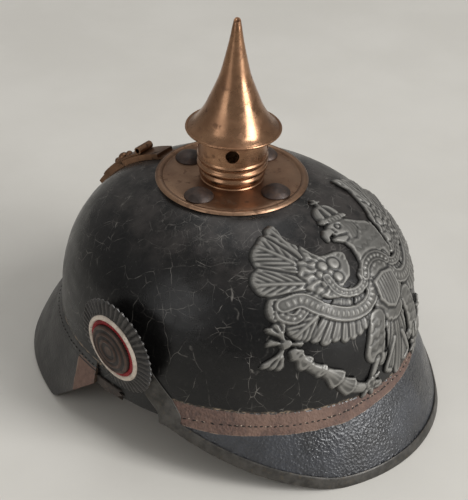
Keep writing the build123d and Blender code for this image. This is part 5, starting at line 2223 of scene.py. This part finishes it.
    def fan(self, outline: Array, shafts: Sequence[Sequence[float]], height: float, barbs: float) -> None:
        """Share a solid field among feathers that widen outward, each with its shaft and sloping barbs.

        A point belongs to the feather whose shaft is nearest for its width there; where two are equally
        near runs a pair of engraved lines.

        Args:
            outline: Signed distance of the whole field.
            shafts: Root x and w, tip x and w, and half width at the tip of each feather.
            height: Height of a feather's arch.
            barbs: Distance between barbs.
        """
        first = np.full(self.x.shape, 1e3)
        second, across, along, reach = first.copy(), first.copy(), first.copy(), np.ones(self.x.shape)
        for x0, w0, x1, w1, half in shafts:
            share, off, length = self.line((x0, w0), (x1, w1))
            wide = half * (0.30 + 0.70 * np.clip(share, 0.05, 1.1))
            near = np.abs(off) / wide + np.where(share < 0, 3 * np.abs(share), 0)
            closer = near < first
            second = np.where(closer, first, np.minimum(second, near))
            across = np.where(closer, np.abs(off), across)
            along = np.where(closer, share * length, along)
            reach = np.where(closer, wide, reach)
            first = np.where(closer, near, first)
        border = (second - first) * reach / 2
        arch = height * (0.62 + 0.38 * np.sqrt(np.clip(1 - np.clip(first, 0, 1) ** 2, 0, 1)))
        arch = arch - 0.70 * np.exp(-((border / 0.55) ** 2)) + 0.36 * np.exp(-(((border - 1.3) / 0.50) ** 2))
        arch = arch + 0.45 * np.exp(-((across / 0.52) ** 2)) - 0.18 * np.exp(-(((across - 1.25) / 0.50) ** 2))
        lean = 1.5
        stroke = (((along - across * lean) / barbs) % 1 - 0.5) * barbs / math.hypot(1, lean)
        veil = rounded((across - 0.9) / 0.8) * rounded((border - 1.0) / 0.7)
        arch = arch + (0.15 - 0.72 * np.exp(-((stroke / 0.50) ** 2))) * veil
        self.lay(outline, arch, 0.4, 0.5)

    def ribbon(
        self, points: Sequence[Sequence[float]], half: float, height: float, lozenges: float = 3.0
    ) -> None:
        """Lay a band along a path, with two beads along both borders and a row of small low lozenges.

        Args:
            points: Points of the path.
            half: Half width.
            height: Height of the band.
            lozenges: Distance between lozenges.
        """
        gap, run, side = self.path(points)
        distance = gap - half
        bead = (
            0.50 * np.exp(-(((gap - half + 0.7) / 0.45) ** 2))
            - 0.34 * np.exp(-(((gap - half + 1.6) / 0.40) ** 2))
        )
        part = (run / lozenges) % 1 - 0.5
        lozenge = np.clip(1 - (np.abs(part) * 3.0 + np.abs(side) / (half * 0.62)), 0, 1)
        body = height - 0.35 + bead + 0.42 * rounded(lozenge * 1.6) - 0.12 * (side / half) ** 2
        self.lay(distance, body, 0.6, 0.4)


@dataclass
class EaglePlate:
    """Stamped spread eagle: wings of broad feathers, ribbon, shield, crown, sceptre and orb."""

    tilt: float = 35.0
    gap: float = 0.3
    middle: float = 4.0
    halvings: int = 34

    def other(self, point: Sequence[float]) -> tuple[float, float]:
        """The same point on the other wing."""
        return 2 * self.middle - point[0], point[1]

    def wing(self, r: Relief, flip: bool) -> None:
        """One wing: a solid field of broad pinions, a fan of lower feathers and a scalloped shoulder.

        Args:
            r: Relief to draw on.
            flip: Draw the other wing.
        """

        def at(x: float, w: float) -> tuple[float, float]:
            """A point of this wing."""
            return self.other((x, w)) if flip else (x, w)

        tone = -1 if flip else 1
        for x, w in ((-50.0, 20.6), (-45.5, 16.0), (-40.0, 14.6), (-34.5, 11.2), (-29.5, 10.2)):
            r.feather(at(-23.0 + (x + 40) * 0.12, 37.0), at(x, w), 3.3, 1.35, 0.0, lines=2.3)
        for x, w in ((-25.0, 10.2), (-20.6, 11.4), (-15.8, 13.6)):
            r.feather(at(-15.0 + (x + 20) * 0.3, 34.0), at(x, w), 2.8, 1.3, 0.0, lines=2.2)
        outer = [
            (-26.9, 79.1), (-27.1, 82.1), (-29.6, 82.5), (-32.5, 81.8), (-34.6, 79.8), (-36.6, 80.4),
            (-40.4, 78.9)
        ]
        outer += [
            (-45.3, 77.0), (-48.8, 74.2), (-50.9, 70.0), (-51.6, 67.6), (-54.0, 67.0), (-56.6, 65.2),
            (-58.6, 62.2)
        ]
        outer += [
            (-59.4, 57.5), (-58.8, 54.6), (-57.0, 52.3), (-59.2, 50.2), (-61.6, 46.6), (-62.2, 42.6),
            (-60.8, 38.4)
        ]
        outer += [
            (-58.8, 34.2), (-58.6, 30.0), (-56.4, 25.4), (-52.6, 22.4), (-48.0, 23.5), (-43.0, 30.0),
            (-36.0, 38.0)
        ]
        outer += [(-30.0, 48.0), (-27.5, 58.0), (-27.0, 66.8), (-29.4, 73.1)]
        corners = smooth_path([*outer, outer[0]], 4)[:-1]
        field_edge = r.inside([at(x, w) for x, w in corners])
        shafts = [
            (-31.5, 60.0, -31.0, 83.0, 6.4), (-33.0, 53.0, -44.0, 79.5, 9.4), (-35.0, 47.0, -59.0, 61.5, 7.6)
        ]
        shafts += [(-35.5, 41.0, -61.5, 45.5, 6.8), (-36.0, 34.5, -59.5, 27.5, 6.4)]
        r.fan(field_edge, [(*at(x0, w0), *at(x1, w1), half) for x0, w0, x1, w1, half in shafts], 1.9, 4.3)
        edge = [
            (-25.8, 67.4), (-29.5, 65.0), (-31.4, 61.2), (-35.6, 60.8), (-37.4, 57.0), (-39.6, 54.4),
            (-38.6, 50.4)
        ]
        edge += [
            (-40.6, 47.4), (-38.8, 43.6), (-37.0, 40.0), (-32.0, 35.5), (-22.0, 34.0), (-12.5, 38.0),
            (-8.6, 45.0)
        ]
        edge += [(-8.2, 51.6), (-12.4, 55.4), (-19.4, 56.8), (-23.4, 59.4), (-25.2, 63.4)]
        shoulder = r.inside([at(x, w) for x, w in smooth_path([*edge, edge[0]], 5)[:-1]])
        hub = at(-20.5, 47.5)
        turn = np.arctan2(r.w - hub[1], tone * (r.x - hub[0]))
        far = np.hypot(r.x - hub[0], r.w - hub[1])
        fine = ripple(r.x / 7, r.w / 7, 81 + tone, 3)
        hair = 0.26 * np.sin(turn * 24 + 1.3 * fine + 0.05 * far) * rounded((far - 7.0) / 2.5)
        scallop = 0.10 * np.sin(far * FULL_TURN / 5.0 + 1.2 * np.cos(turn * 9)) * rounded((far - 9.0) / 3)
        r.lay(shoulder, 1.85 + 0.25 * np.clip(-shoulder / 9, 0, 1) + hair + scallop, 0.55, 0.55)
        for x, w, size in (
            (-31.0, 44.6, 2.2), (-30.2, 49.8, 2.4), (-26.0, 52.7, 3.1), (-19.6, 50.9, 3.6), (-22.3, 43.9, 3.1)
        ):
            ball = r.disc(at(x, w), size)
            r.plate(ball, 1.7 + 0.95 * np.sqrt(np.clip(1 - (1 + ball / size) ** 2, 0, 1)), 0.5, 0.5)

    def trunk(self, r: Relief) -> None:
        """Tail, scrolls, thighs, legs, breast with small feathers, and neck.

        Args:
            r: Relief to draw on.
        """
        m = self.middle
        for x, w, half in (
            (-13.0, -13.5, 3.6), (21.0, -13.5, 3.6), (-4.0, -22.0, 3.8), (12.0, -22.0, 3.8), (m, -26.0, 3.8)
        ):
            r.feather((m + (x - m) * 0.25, 12.0), (x, w), half, 1.25, 1.8)
        for side in (-1, 1):
            scroll, run, _ = r.path(
                ((m + side * 4, -4), (m + side * 9, -12), (m + side * 12, -18), (m + side * 8, -21))
            )
            r.lay(scroll - 1.5, 1.3 + 0.5 * np.sqrt(np.clip(1 - (scroll / 1.5) ** 2, 0, 1)), 0.4)
        body = r.disc((m + 0.5, 26.0), 15.5, 21.0)
        r.lay(body, 1.5 + 0.6 * np.clip(-body / 12, 0, 1), 0.35)
        for side in (-1, 1):
            thigh = r.taper((m + side * 15.5, 12.0), (m + side * 20.5, -2.5), 6.5, 7.2)
            thigh = np.minimum(thigh, r.taper((m + side * 20.5, -2.5), (m + side * 16.5, -9.0), 6.4, 3.2))
            r.lay(thigh, 1.45 + 0.75 * np.clip(-thigh / 7, 0, 1) ** 0.7, 0.5, 0.5)
            leg = r.taper((m + side * 19.5, -8.0), (m + side * 24.0, -17.5), 2.5, 2.1)
            r.lay(leg, 1.2 + 0.6 * np.clip(-leg / 2, 0, 1), 0.35)
        neck = r.inside(
            [
                (-6.5, 38), (-3.6, 46), (-2.6, 51), (-3.6, 56), (-2, 62), (4, 68), (11.8, 65), (17.0, 61.5),
                (23.2, 58.5), (26.2, 53), (26, 40), (14, 28), (-2, 28)
            ]
        )
        r.lay(neck, 1.7 + 0.7 * np.clip(-neck / 8, 0, 1) ** 0.6, 0.35)
        plume = ripple(r.x / 4.5, r.w / 9, 90, 3)
        quilt = (np.minimum(neck, body) < -0.8) & (r.w < 61)
        step = (r.w + 0.35 * plume) / 6.0
        shift = 0.5 * (np.floor(step) % 2)
        bow = np.abs(((r.x + 0.5 * plume) / 5.4 + shift) % 1 - 0.5)
        tip = (step % 1) - 0.9 * bow
        ledge = 0.24 * np.exp(-(((tip + 0.02) / 0.12) ** 2))
        r.height = r.height + np.where(quilt, 0.10 * tip - ledge, 0)
        for side in (-1, 1):
            near = np.hypot((r.x - m - side * 18.5) / 7.5, (r.w - 2) / 12.5) < 0.95
            step = (r.w + side * 0.2 * r.x) / 5.2
            bow = np.abs((r.x / 5.0 + 0.5 * (np.floor(step) % 2)) % 1 - 0.5)
            tip = (step % 1) - 0.9 * bow
            r.height = r.height + np.where(near, 0.12 * tip - 0.34 * np.exp(-(((tip + 0.02) / 0.13) ** 2)), 0)

    def head(self, r: Relief) -> None:
        """Head in profile with a hooked beak, a ringed eye, and an arched crown with a bead band and a cross.

        Args:
            r: Relief to draw on.
        """
        skull = r.inside(
            [
                (-4.5, 59), (-6.2, 63.5), (-5.0, 67.5), (0, 69.5), (7, 68.5), (12.2, 64.6), (12.4, 58),
                (6, 54.5), (-1, 56)
            ]
        )
        r.lay(skull, 2.0 + 0.45 * np.clip(-skull / 5, 0, 1) ** 0.6, 0.25)
        beak = r.inside(
            [
                (-4.0, 66.8), (-8.6, 67.0), (-11.6, 64.6), (-12.2, 60.6), (-10.6, 59.6), (-9.2, 61.8),
                (-5.0, 62.6), (-3.0, 62.6)
            ]
        )
        r.lay(beak, 1.9 + 0.55 * np.clip(-beak / 2, 0, 1), 0.4, 0.45)
        jaw = r.inside([(-4.5, 61.4), (-8.3, 60.8), (-8.6, 59.0), (-4.0, 55.6), (1.5, 56.6), (1.8, 58.6)])
        r.lay(jaw, 1.9 + 0.35 * np.clip(-jaw / 1.5, 0, 1), 0.45, 0.45)
        r.groove(r.taper((-9.0, 61.5), (2.6, 59.3), 0.0, 0.0), 0.7, 0.45)
        r.groove(r.taper((-5.0, 66.6), (-3.4, 62.4), 0.0, 0.0), 0.3, 0.4)
        eye = r.disc((0.6, 64.7), 1.9, 1.45, -12)
        r.plate(eye, 1.9 + 0.0 * eye, 0.45, 0.35)
        pupil = r.disc((0.6, 64.7), 1.0)
        r.plate(pupil, 2.75 + 0 * pupil, 0.2, 0.3)
        brow, _, _ = r.path(((-3.6, 66.4), (0.5, 67.4), (4.0, 65.8)))
        r.height = r.height + 0.35 * np.exp(-((brow / 0.5) ** 2))
        for number in range(4):
            nape, _, _ = r.path(
                ((4.5 + 1.6 * number, 66.5 - number), (5.5 + 2.2 * number, 61), (4.0 + 2.6 * number, 56.5))
            )
            r.groove(nape, 0.22, 0.4)
        arch = r.disc((3.6, 71.6), 8.6, 6.4, -6)
        arch = np.maximum(arch, -(r.w - 69.0 + 0.16 * (r.x - 4)))
        spread = (r.x - 3.6) / 8.4
        bow = spread / np.sqrt(np.clip(1 - np.clip((r.w - 69.6) / 8.6, 0, 1) ** 2, 0.16, 1))
        rib = np.cos(bow * math.pi * 3.0)
        r.lay(arch, 1.75 + 0.60 * rib, 0.4, 0.4)
        band = r.taper((-4.6, 69.9), (12.2, 67.2), 1.7, 1.7)
        share, off, length = r.line((-4.6, 69.9), (12.2, 67.2))
        beads = 0.3 * np.cos(share * length * FULL_TURN / 2.4) * np.exp(-((off / 0.8) ** 2))
        r.lay(band, 2.25 + beads + 0.25 * np.exp(-(((np.abs(off) - 1.25) / 0.3) ** 2)), 0.45, 0.4)
        for a, b in (((4.6, 77.4), (5.2, 81.0)), ((3.2, 79.9), (7.0, 79.3))):
            arm = r.taper(a, b, 0.8, 1.1)
            r.lay(arm, 2.1 + 0.3 * np.clip(-arm, 0, 1), 0.3, 0.35)

    def held(self, r: Relief) -> None:
        """Sceptre of jointed leaf pieces with a four-armed fan head, the orb, and both feet.

        Args:
            r: Relief to draw on.
        """
        m = self.middle
        route = [(-59.0, 21.0), (-54.0, 10.0), (-45.0, -0.5), (-35.5, -12.5), (-25.0, -19.5), (-14.0, -23.0)]
        gap, run, side = r.path(route)
        places = (
            0, 2.0, 3.2, 5.0, 8.5, 10.5, 12.0, 13.5, 18, 19.5, 20.7, 22, 26, 31, 33.5, 34.5, 39, 43.5, 45.5,
            48, 60
        )
        halves = (
            2.2, 3.4, 3.4, 2.3, 3.9, 4.1, 2.6, 2.5, 2.9, 3.6, 3.6, 2.6, 3.1, 4.7, 5.0, 3.0, 3.9, 4.9, 3.3,
            3.0, 2.6
        )
        half = np.interp(run, places, halves)
        rod = gap - half
        ring = sum(
            np.exp(-(((run - at) / 0.60) ** 2)) for at in (2.6, 5.0, 10.4, 12.6, 19.0, 21.2, 34.0, 45.0)
        )
        leaf = 0.34 * np.cos(side / half * math.pi * 1.7) * rounded((run - 5) / 2)
        vein = -0.35 * np.exp(-((side / 0.4) ** 2)) * (run > 22)
        swell = 1.25 + 0.85 * np.sqrt(np.clip(1 - (gap / half) ** 2, 0, 1))
        r.lay(rod, swell + (leaf + vein) * (rod < -0.4) + 0.45 * ring, 0.45)
        centre = (-60.8, 26.6)
        for tip, wide, fold in (
            ((-61.5, 39.0), 4.8, 6), ((-69.0, 17.5), 5.8, 7), ((-54.0, 22.5), 2.0, 3), ((-67.2, 31.8), 2.2, 3)
        ):
            share, off, length = r.line(centre, tip)
            t = np.clip(share, 0, 1)
            flare_half = (
                1.1 + (wide - 1.1) * rounded((t - 0.25) / 0.75) * (1 - 0.16 * (np.abs(t - 0.9) < 0.04))
            )
            rays = 0.5 * np.cos(off / flare_half * math.pi * fold / 2)
            fan = np.maximum(np.abs(off) - flare_half, np.maximum(share - 1 - 0.06 * rays, -share) * length)
            r.lay(fan, 1.5 + rays + 0.5 * np.exp(-(((t - 0.55) / 0.07) ** 2)), 0.4, 0.4)
        hub = r.disc(centre, 2.6)
        r.lay(hub, 1.7 + 0.8 * np.sqrt(np.clip(1 - (1 + hub / 2.6) ** 2, 0, 1)), 0.45)
        orb_at = (m + 31.0, -13.5)
        stem = r.taper((m + 24.0, -18.5), orb_at, 2.0, 2.0)
        r.lay(stem, 1.3 + 0 * stem, 0.3)
        orb = r.disc(orb_at, 7.4)
        ball = 1.2 + 1.2 * np.sqrt(np.clip(1 - (1 + orb / 7.4) ** 2, 0, 1))
        belt = np.exp(-(((r.w - orb_at[1] + 0.1 * r.x - 3.5) / 0.8) ** 2)) * 0.3
        r.lay(orb, np.minimum(ball + belt, 2.4), 0.4)
        for a, b in (((m + 33.5, -7.0), (m + 36.5, 3.0)), ((m + 31.5, -0.5), (m + 39.0, -2.5))):
            arm = r.taper(a, b, 1.2, 1.8)
            r.lay(arm, 1.5 + 0.5 * np.clip(-arm, 0, 1), 0.4)
        for s in (-1, 1):
            foot = (m + s * 25.0, -19.5)
            for dx, dw in ((-6.0, 3.2), (-6.4, -2.2), (-1.5, -6.2), (4.5, -4.6)):
                toe = r.taper(foot, (foot[0] - s * dx * -1, foot[1] + dw), 2.5, 1.3)
                r.lay(toe, 1.5 + 0.7 * np.sqrt(np.clip(-toe / 2.4, 0, 1)), 0.45, 0.4)
            palm = r.disc(foot, 3.6)
            lump = 0.25 * ripple(r.x / 3.2, r.w / 3.2, 95 + s, 2)
            r.lay(palm, 1.9 + lump, 0.3)

    def bands(self, r: Relief) -> None:
        """Ribbon over both wings and the breast, and the shield over it.

        Args:
            r: Relief to draw on.
        """
        m = self.middle
        low = [
            (-54.0, 45.4), (-46.0, 43.4), (-40.6, 35.6), (-33.0, 27.6), (-24.8, 23.2), (-15.5, 22.4),
            (-8.5, 26.0), (-6.5, 31.0)
        ]
        fold = [(-55.2, 46.0), (-57.0, 41.0), (-53.0, 36.5), (-48.0, 38.0)]
        inner = [(-28.0, 46.5), (-27.4, 39.4), (-23.4, 34.6), (-16.4, 32.2), (-9.6, 33.8), (-8.0, 38.6)]
        over = [(-6.8, 36.5), (-2.5, 40.8), (m, 42.4), (10.5, 40.8), (14.8, 36.5)]
        for points, half in ((fold, 3.0), (low, 4.1), (inner, 2.7)):
            for flip in (False, True):
                r.ribbon([self.other(p) for p in points] if flip else points, half, 2.1)
        r.ribbon(over, 3.0, 2.35)
        corners = [
            (-4.8, 31.5), (-5.8, 20.5), (-2.0, 14.8), (4.5, 11.5), (11.0, 14.8), (14.6, 20.5), (13.6, 31.5),
            (4.5, 33.5)
        ]
        shield = r.inside(corners)
        share = np.clip(-shield / 5, 0, 1)
        stripe = 0.22 * np.cos((r.x - 4.4) * FULL_TURN / 2.3)
        frame_bead = 0.45 * np.exp(-(((shield + 1.0) / 0.5) ** 2))
        field_part = np.where(shield < -2.0, stripe, 0)
        r.plate(shield, np.minimum(2.55 + 0.3 * share + field_part + frame_bead, 3.3), 0.6, 0.5)

    def openings(self, r: Relief) -> None:
        """Pierce the gaps beside the neck and among the lower feathers, thighs and tail.

        Args:
            r: Relief to draw on.
        """
        gap = [
            (-4.2, 55.8), (-2.9, 50.6), (-4.6, 45.0), (-8.4, 40.4), (-14.6, 36.4), (-20.7, 36.1),
            (-22.4, 38.2), (-15.2, 40.4), (-11.7, 44.6), (-9.2, 51.0), (-8.2, 54.8)
        ]
        r.cut(r.inside(gap))
        r.cut(
            r.inside(
                [
                    (-26.4, 92), (-26.4, 79.1), (-28.4, 73.1), (-25.6, 68.4), (-24.0, 63.2), (-22.0, 60),
                    (-13, 57.2), (-13, 92)
                ]
            )
        )
        right = [
            (13.0, 66.8), (18.0, 62.5), (24.0, 59.5), (27.0, 56.5), (26.3, 51.0), (25.4, 41.5), (26.4, 40.8),
            (28.0, 48.7)
        ]
        right += [
            (29.6, 57.6), (33.6, 62.4), (35.4, 67.0), (37.4, 73.5), (35.6, 79.0), (34.8, 82.5), (35.0, 92),
            (13.0, 92)
        ]
        r.cut(r.inside(right))
        for side in (-1, 1):
            tear = r.taper((self.middle + side * 10.5, 4.0), (self.middle + side * 12.0, -6.5), 0.9, 1.6)
            r.cut(tear)

    def wall(self, x: Array, w: Array, out: Array) -> Array:
        """Point of the chart carried straight back onto the dome, `out` clear of it, found by halving.

        Args:
            x: Chart coordinate across.
            w: Chart coordinate up.
            out: Distance outside the leather.

        Returns:
            Points on the dome.
        """
        c, s = math.cos(math.radians(self.tilt)), math.sin(math.radians(self.tilt))
        low, high = np.full(x.shape, -10.0), np.full(x.shape, 190.0)
        for _ in range(self.halvings):
            middle = (low + high) / 2
            y, z = s * w - c * middle, c * w + s * middle
            length, width = FORM.level(np.clip(z, 20, 132.9), out)
            outside = ((x / width) ** 2 + (y / length) ** 2 > 1) | (z > FORM.crown + out)
            low, high = np.where(outside, low, middle), np.where(outside, middle, high)
        middle = (low + high) / 2
        return np.stack([x, s * w - c * middle, c * w + s * middle], -1)

    def build(self) -> None:
        """Draw the relief, then stand it on the dome with a closed back."""
        r = Relief()
        self.wing(r, False)
        self.wing(r, True)
        self.trunk(r)
        self.held(r)
        self.bands(r)
        self.openings(r)
        self.head(r)
        height = np.clip(r.height, 0.3, 2.9)
        edge = rounded((-r.outline) / 0.9)
        height = 0.35 + (height - 0.35) * edge
        height[1:-1] = (height[:-2] + 2 * height[1:-1] + height[2:]) / 4
        height[:, 1:-1] = (height[:, :-2] + 2 * height[:, 1:-1] + height[:, 2:]) / 4
        soft = height.copy()
        for axis in (0, 1):
            total = np.cumsum(
                np.pad(soft, [(5, 4), (0, 0)] if axis == 0 else [(0, 0), (5, 4)], mode="edge"), axis
            )
            soft = (
                np.take(total, range(9, total.shape[axis]), axis)
                - np.take(total, range(total.shape[axis] - 9), axis)
            ) / 9
        # Number for the finish: low in the relief's hollows and along its cut edges, high on its ridges; the
        # finish paints shade where it is low and a lighter tone, partly a painted highlight, where it is
        # high.
        tone = np.clip(0.58 + (height - soft) * 1.7, 0, 1) * (0.35 + 0.65 * edge)
        rows, columns = r.x.shape

        def sample(table: Array, x: Array, w: Array) -> Array:
            """Read a table between its cells, as a weighted mean of the four nearest.

            Args:
                table: Values on the chart's grid.
                x: Chart coordinate across.
                w: Chart coordinate up.

            Returns:
                The values there.
            """
            column = np.clip((x - r.across[0]) / r.cell, 0, columns - 1.001)
            row = np.clip((w - r.up[0]) / r.cell, 0, rows - 1.001)
            i, j = row.astype(int), column.astype(int)
            a, b = row - i, column - j
            top = table[i, j] * (1 - b) + table[i, j + 1] * b
            return top * (1 - a) + (table[i + 1, j] * (1 - b) + table[i + 1, j + 1] * b) * a

        def face(x: Array, w: Array) -> Array:
            """The front, raised by the relief."""
            return self.wall(x, w, self.gap + sample(height, x, w))

        def back(x: Array, w: Array) -> Array:
            """The back, along the dome."""
            return self.wall(x, w, np.full(x.shape, self.gap))

        shape = Shape()
        field_shell(shape, r.across, r.up, r.outline, face, back, lambda x, w: sample(tone, x, w))
        shape.build("eagle_relief", [EAGLE_STEEL], Body.HELMET, "eagle_steel", ["eagle_plate"], 60)


# Liner


@dataclass
class Sweatband:
    """Leather band inside the skull, a little wavy along its top, with a rolled lower edge."""

    low: float = 33.0
    high: float = 62.0
    stand: float = 5.2
    leather: float = 1.4

    def build(self) -> None:
        """Carry a thin rounded outline round the inside oval."""
        turn = np.linspace(0, FULL_TURN, 241)[:, None]
        z = np.concatenate([np.linspace(self.low, self.low + 1, 5), np.linspace(self.low + 3, self.high, 12)])
        top = 0.8 * (0.5 + 0.5 * np.sin(turn * 8 + 0.6))
        z = z[None] - top * rounded((z[None] - 50) / 12)
        roll = 0.35 * np.sin(np.pi * np.clip((z - self.low) / 1.5, 0, 1))

        def face(inset: float, sign: float) -> Array:
            """One face of the band.

            Args:
                inset: Distance inside the skull's oval.
                sign: Which way the roll bulges.

            Returns:
                Grid of points.
            """
            out = -inset + sign * roll
            x = (FORM.half_width + out) * np.sin(turn)
            y = (FORM.half_length + out) * np.cos(turn)
            return np.stack(np.broadcast_arrays(x, y, z), -1)

        shape = Shape()
        shape.shell(
            face(self.stand, 1).transpose(1, 0, 2), face(self.stand + self.leather, -1).transpose(1, 0, 2),
            closed=True
        )
        shape.build("liner_band", [TAN_LEATHER], Body.HELMET, "liner_leather", ["sweatband"], 60)


# Stage


@dataclass
class Stage:
    """Pale floor, soft lamps, the plain surround and the camera at the photograph's angle."""

    azimuth: float = -54.4
    elevation: float = 32.99
    distance: float = 799.9
    focal_pixels: float = 1402.28
    shift_right: float = -3.09
    shift_up: float = -14.77
    roll: float = 2.15
    floor: float = 3.0
    sensor: float = 36.0
    picture_pixels: float = 500.0
    surround: float = 0.45

    def camera(self) -> None:
        """Stand the camera at the fitted place; the focal length in pixels is scaled to the sensor."""
        a, e, roll = math.radians(self.azimuth), math.radians(self.elevation), math.radians(self.roll)
        back = Vector((math.sin(a) * math.cos(e), -math.cos(a) * math.cos(e), math.sin(e)))
        right = Vector((math.cos(a), math.sin(a), 0))
        up = back.cross(right)
        tilted = right * math.cos(roll) + up * math.sin(roll)
        upward = up * math.cos(roll) - right * math.sin(roll)
        target = Vector((0, 0, 100)) + tilted * self.shift_right + upward * self.shift_up
        place = (target + back * self.distance - Vector((0, MIDDLE_Y, 0))) * MM
        data = bpy.data.cameras.new("camera")
        data.sensor_width = self.sensor
        data.lens = self.focal_pixels * self.sensor / self.picture_pixels
        camera = bpy.data.objects.new("camera", data)
        camera.matrix_world = Matrix.Translation(place) @ Matrix((tilted, upward, back)).transposed().to_4x4()
        bpy.context.scene.collection.objects.link(camera)
        bpy.context.scene.camera = camera

    def ground(self) -> None:
        """A large pale sheet at the table's height with faint mottling."""
        mesh = bpy.data.meshes.new("floor")
        half = self.floor
        corners = [(-half, -half, 0), (half, -half, 0), (half, half, 0), (-half, half, 0)]
        mesh.from_pydata(corners, [], [(0, 1, 2, 3)])
        sheet = bpy.data.objects.new("floor", mesh)
        bpy.context.scene.collection.objects.link(sheet)
        tree = Tree("pale_table")
        tone = tree.mix(
            tree.between(tree.noise(9.0, 5.0), 0.3, 0.7), (0.61, 0.59, 0.545), (0.65, 0.63, 0.585)
        )
        sheet.data.materials.append(tree.finish(tone, 0.7, tree.bump(tree.noise(300.0), 0.05, 0.0004)))

    def lamp(self, name: str, place: Point, aim: Point, size: tuple[float, float], power: float) -> None:
        """One rectangular soft lamp aimed at a point.

        Args:
            name: Its name.
            place: Where it stands.
            aim: Point that it faces.
            size: Width and height.
            power: Power in watts.
        """
        data = bpy.data.lights.new(name, "AREA")
        data.shape = "RECTANGLE"
        data.size, data.size_y = size
        data.energy = power
        lamp = bpy.data.objects.new(name, data)
        lamp.location = place
        lamp.rotation_euler = (Vector(aim) - Vector(place)).to_track_quat("-Z", "Y").to_euler()
        bpy.context.scene.collection.objects.link(lamp)

    def world(self) -> None:
        """Plain surround, a little darker below, for the metal to show."""
        world = bpy.data.worlds.new("surround")
        bpy.context.scene.world = world
        world.use_nodes = True
        nodes, links = world.node_tree.nodes, world.node_tree.links
        shade = nodes["Background"]
        place = nodes.new("ShaderNodeTexCoord")
        split = nodes.new("ShaderNodeSeparateXYZ")
        links.new(place.outputs["Generated"], split.inputs["Vector"])
        ramp = nodes.new("ShaderNodeValToRGB")
        ramp.color_ramp.elements[0].color = (0.34, 0.32, 0.30, 1)
        ramp.color_ramp.elements[1].color = (0.78, 0.77, 0.75, 1)
        ramp.color_ramp.elements[0].position = 0.30
        ramp.color_ramp.elements[1].position = 0.85
        remap = nodes.new("ShaderNodeMapRange")
        remap.inputs["From Min"].default_value = -1.0
        links.new(split.outputs["Z"], remap.inputs["Value"])
        links.new(remap.outputs["Result"], ramp.inputs["Fac"])
        links.new(ramp.outputs["Color"], shade.inputs["Color"])
        shade.inputs["Strength"].default_value = self.surround

    def build(self) -> None:
        """Set the camera, the floor, the lamps and the surround."""
        bpy.context.scene.view_settings.view_transform = "Standard"
        self.camera()
        self.ground()
        self.world()
        self.lamp("window", (0.26, -1.98, 1.30), (0, 0, 0.30), (0.96, 2.2), 58.0)
        self.lamp("side", (-1.4, 0.25, 0.75), (0, 0, 0.20), (0.7, 1.2), 3.6)
        self.lamp("top", (0.35, 0.25, 1.5), (0, 0, 0.1), (1.0, 1.0), 3.6)


SEAM_ANGLES = (-74.0, -58.0, -47.0, -35.0, -24.0, -14.0, -4.0, 12.0, 40.0, 60.0, 74.0)


def kept_nodes() -> None:
    """Dress the frame nodes whose own shape is shown."""
    for node in ("rear_spine", "slider_rivets", "spine_stud"):
        dress(node, DULL_BRASS)
    for node in ("bayonet_socket", "bayonet_pins"):
        dress(node, BRASS)
    for node in ("side_posts", "post_washers", "stud_washers"):
        dress(node, STEEL)
    dress("eagle_loops", EAGLE_STEEL)
    dress("eagle_wedges", BROWN_LEATHER)
    for number in range(1, 9):
        dress(f"liner_finger_{number}", TAN_LEATHER)


def main() -> None:
    """Build every piece in order, then dress the kept frame nodes."""
    logging.basicConfig(level=logging.INFO, format="%(name)s: %(message)s")
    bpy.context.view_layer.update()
    Stage().build()
    Skull().build()
    front = Visor(
        FRONT_BRIM,
        "front_visor",
        VISOR,
        GREEN_LINING,
        "black_leather",
        FRONT_END,
        1.05,
        band_angles=(-76.0, -62.0, -47.0, -30.0, -22.0, -10.0, 2.0, 14.0, 21.0, 40.0, 62.0, 76.0),
        band_depths=(11.0, 12.5, 11.0, 10.0, 9.6, 6.5, 5.0, 3.0, 0.8, 4.0, 9.0, 11.0),
    )
    front.build()
    Visor(
        REAR_BRIM, "rear_visor", REAR_LEATHER, RED_LINING, "grey_leather", EAR_BACK, 0.0,
        band_angles=(0.0, 76.0), band_depths=(-3.0, -3.0),
    ).build()
    Stitches(
        FRONT_BRIM, "front_seam_thread", SEAM_ANGLES,
        (36.0, 37.0, 37.3, 37.8, 38.9, 41.0, 41.8, 42.4, 40.0, 37.5, 36.5), 62, 2.4, 0.42, THREAD, 5,
        "black_leather",
    ).build()
    Stitches(
        FRONT_BRIM, "front_seam_thread_ends", SEAM_ANGLES,
        (36.3, 37.3, 37.6, 38.1, 39.2, 41.2, 42.0, 42.6, 40.3, 37.8, 36.8), 80, 0.9, 0.34, PALE_THREAD, 6,
        "black_leather", 0.55,
    ).build()
    Stitches(
        REAR_BRIM, "rear_seam_thread", (-76.0, -40.0, 0.0, 40.0, 76.0), (40.6, 40.6, 40.6, 40.6, 40.6), 74,
        2.2, 0.42, THREAD, 7, "grey_leather",
    ).build()
    EarBindings().build()
    VisorTrim().build()
    SpikeBase().build()
    Spike().build()
    Slider().build()
    Cockade(Side.RIGHT, 68.7, 99.7, 10.0, 5.5).build()
    Cockade(Side.LEFT, 65.0, 97.3, 0.0, 0.0).build()
    EaglePlate().build()
    Sweatband().build()
    kept_nodes()


if __name__ == "__main__":
    main()
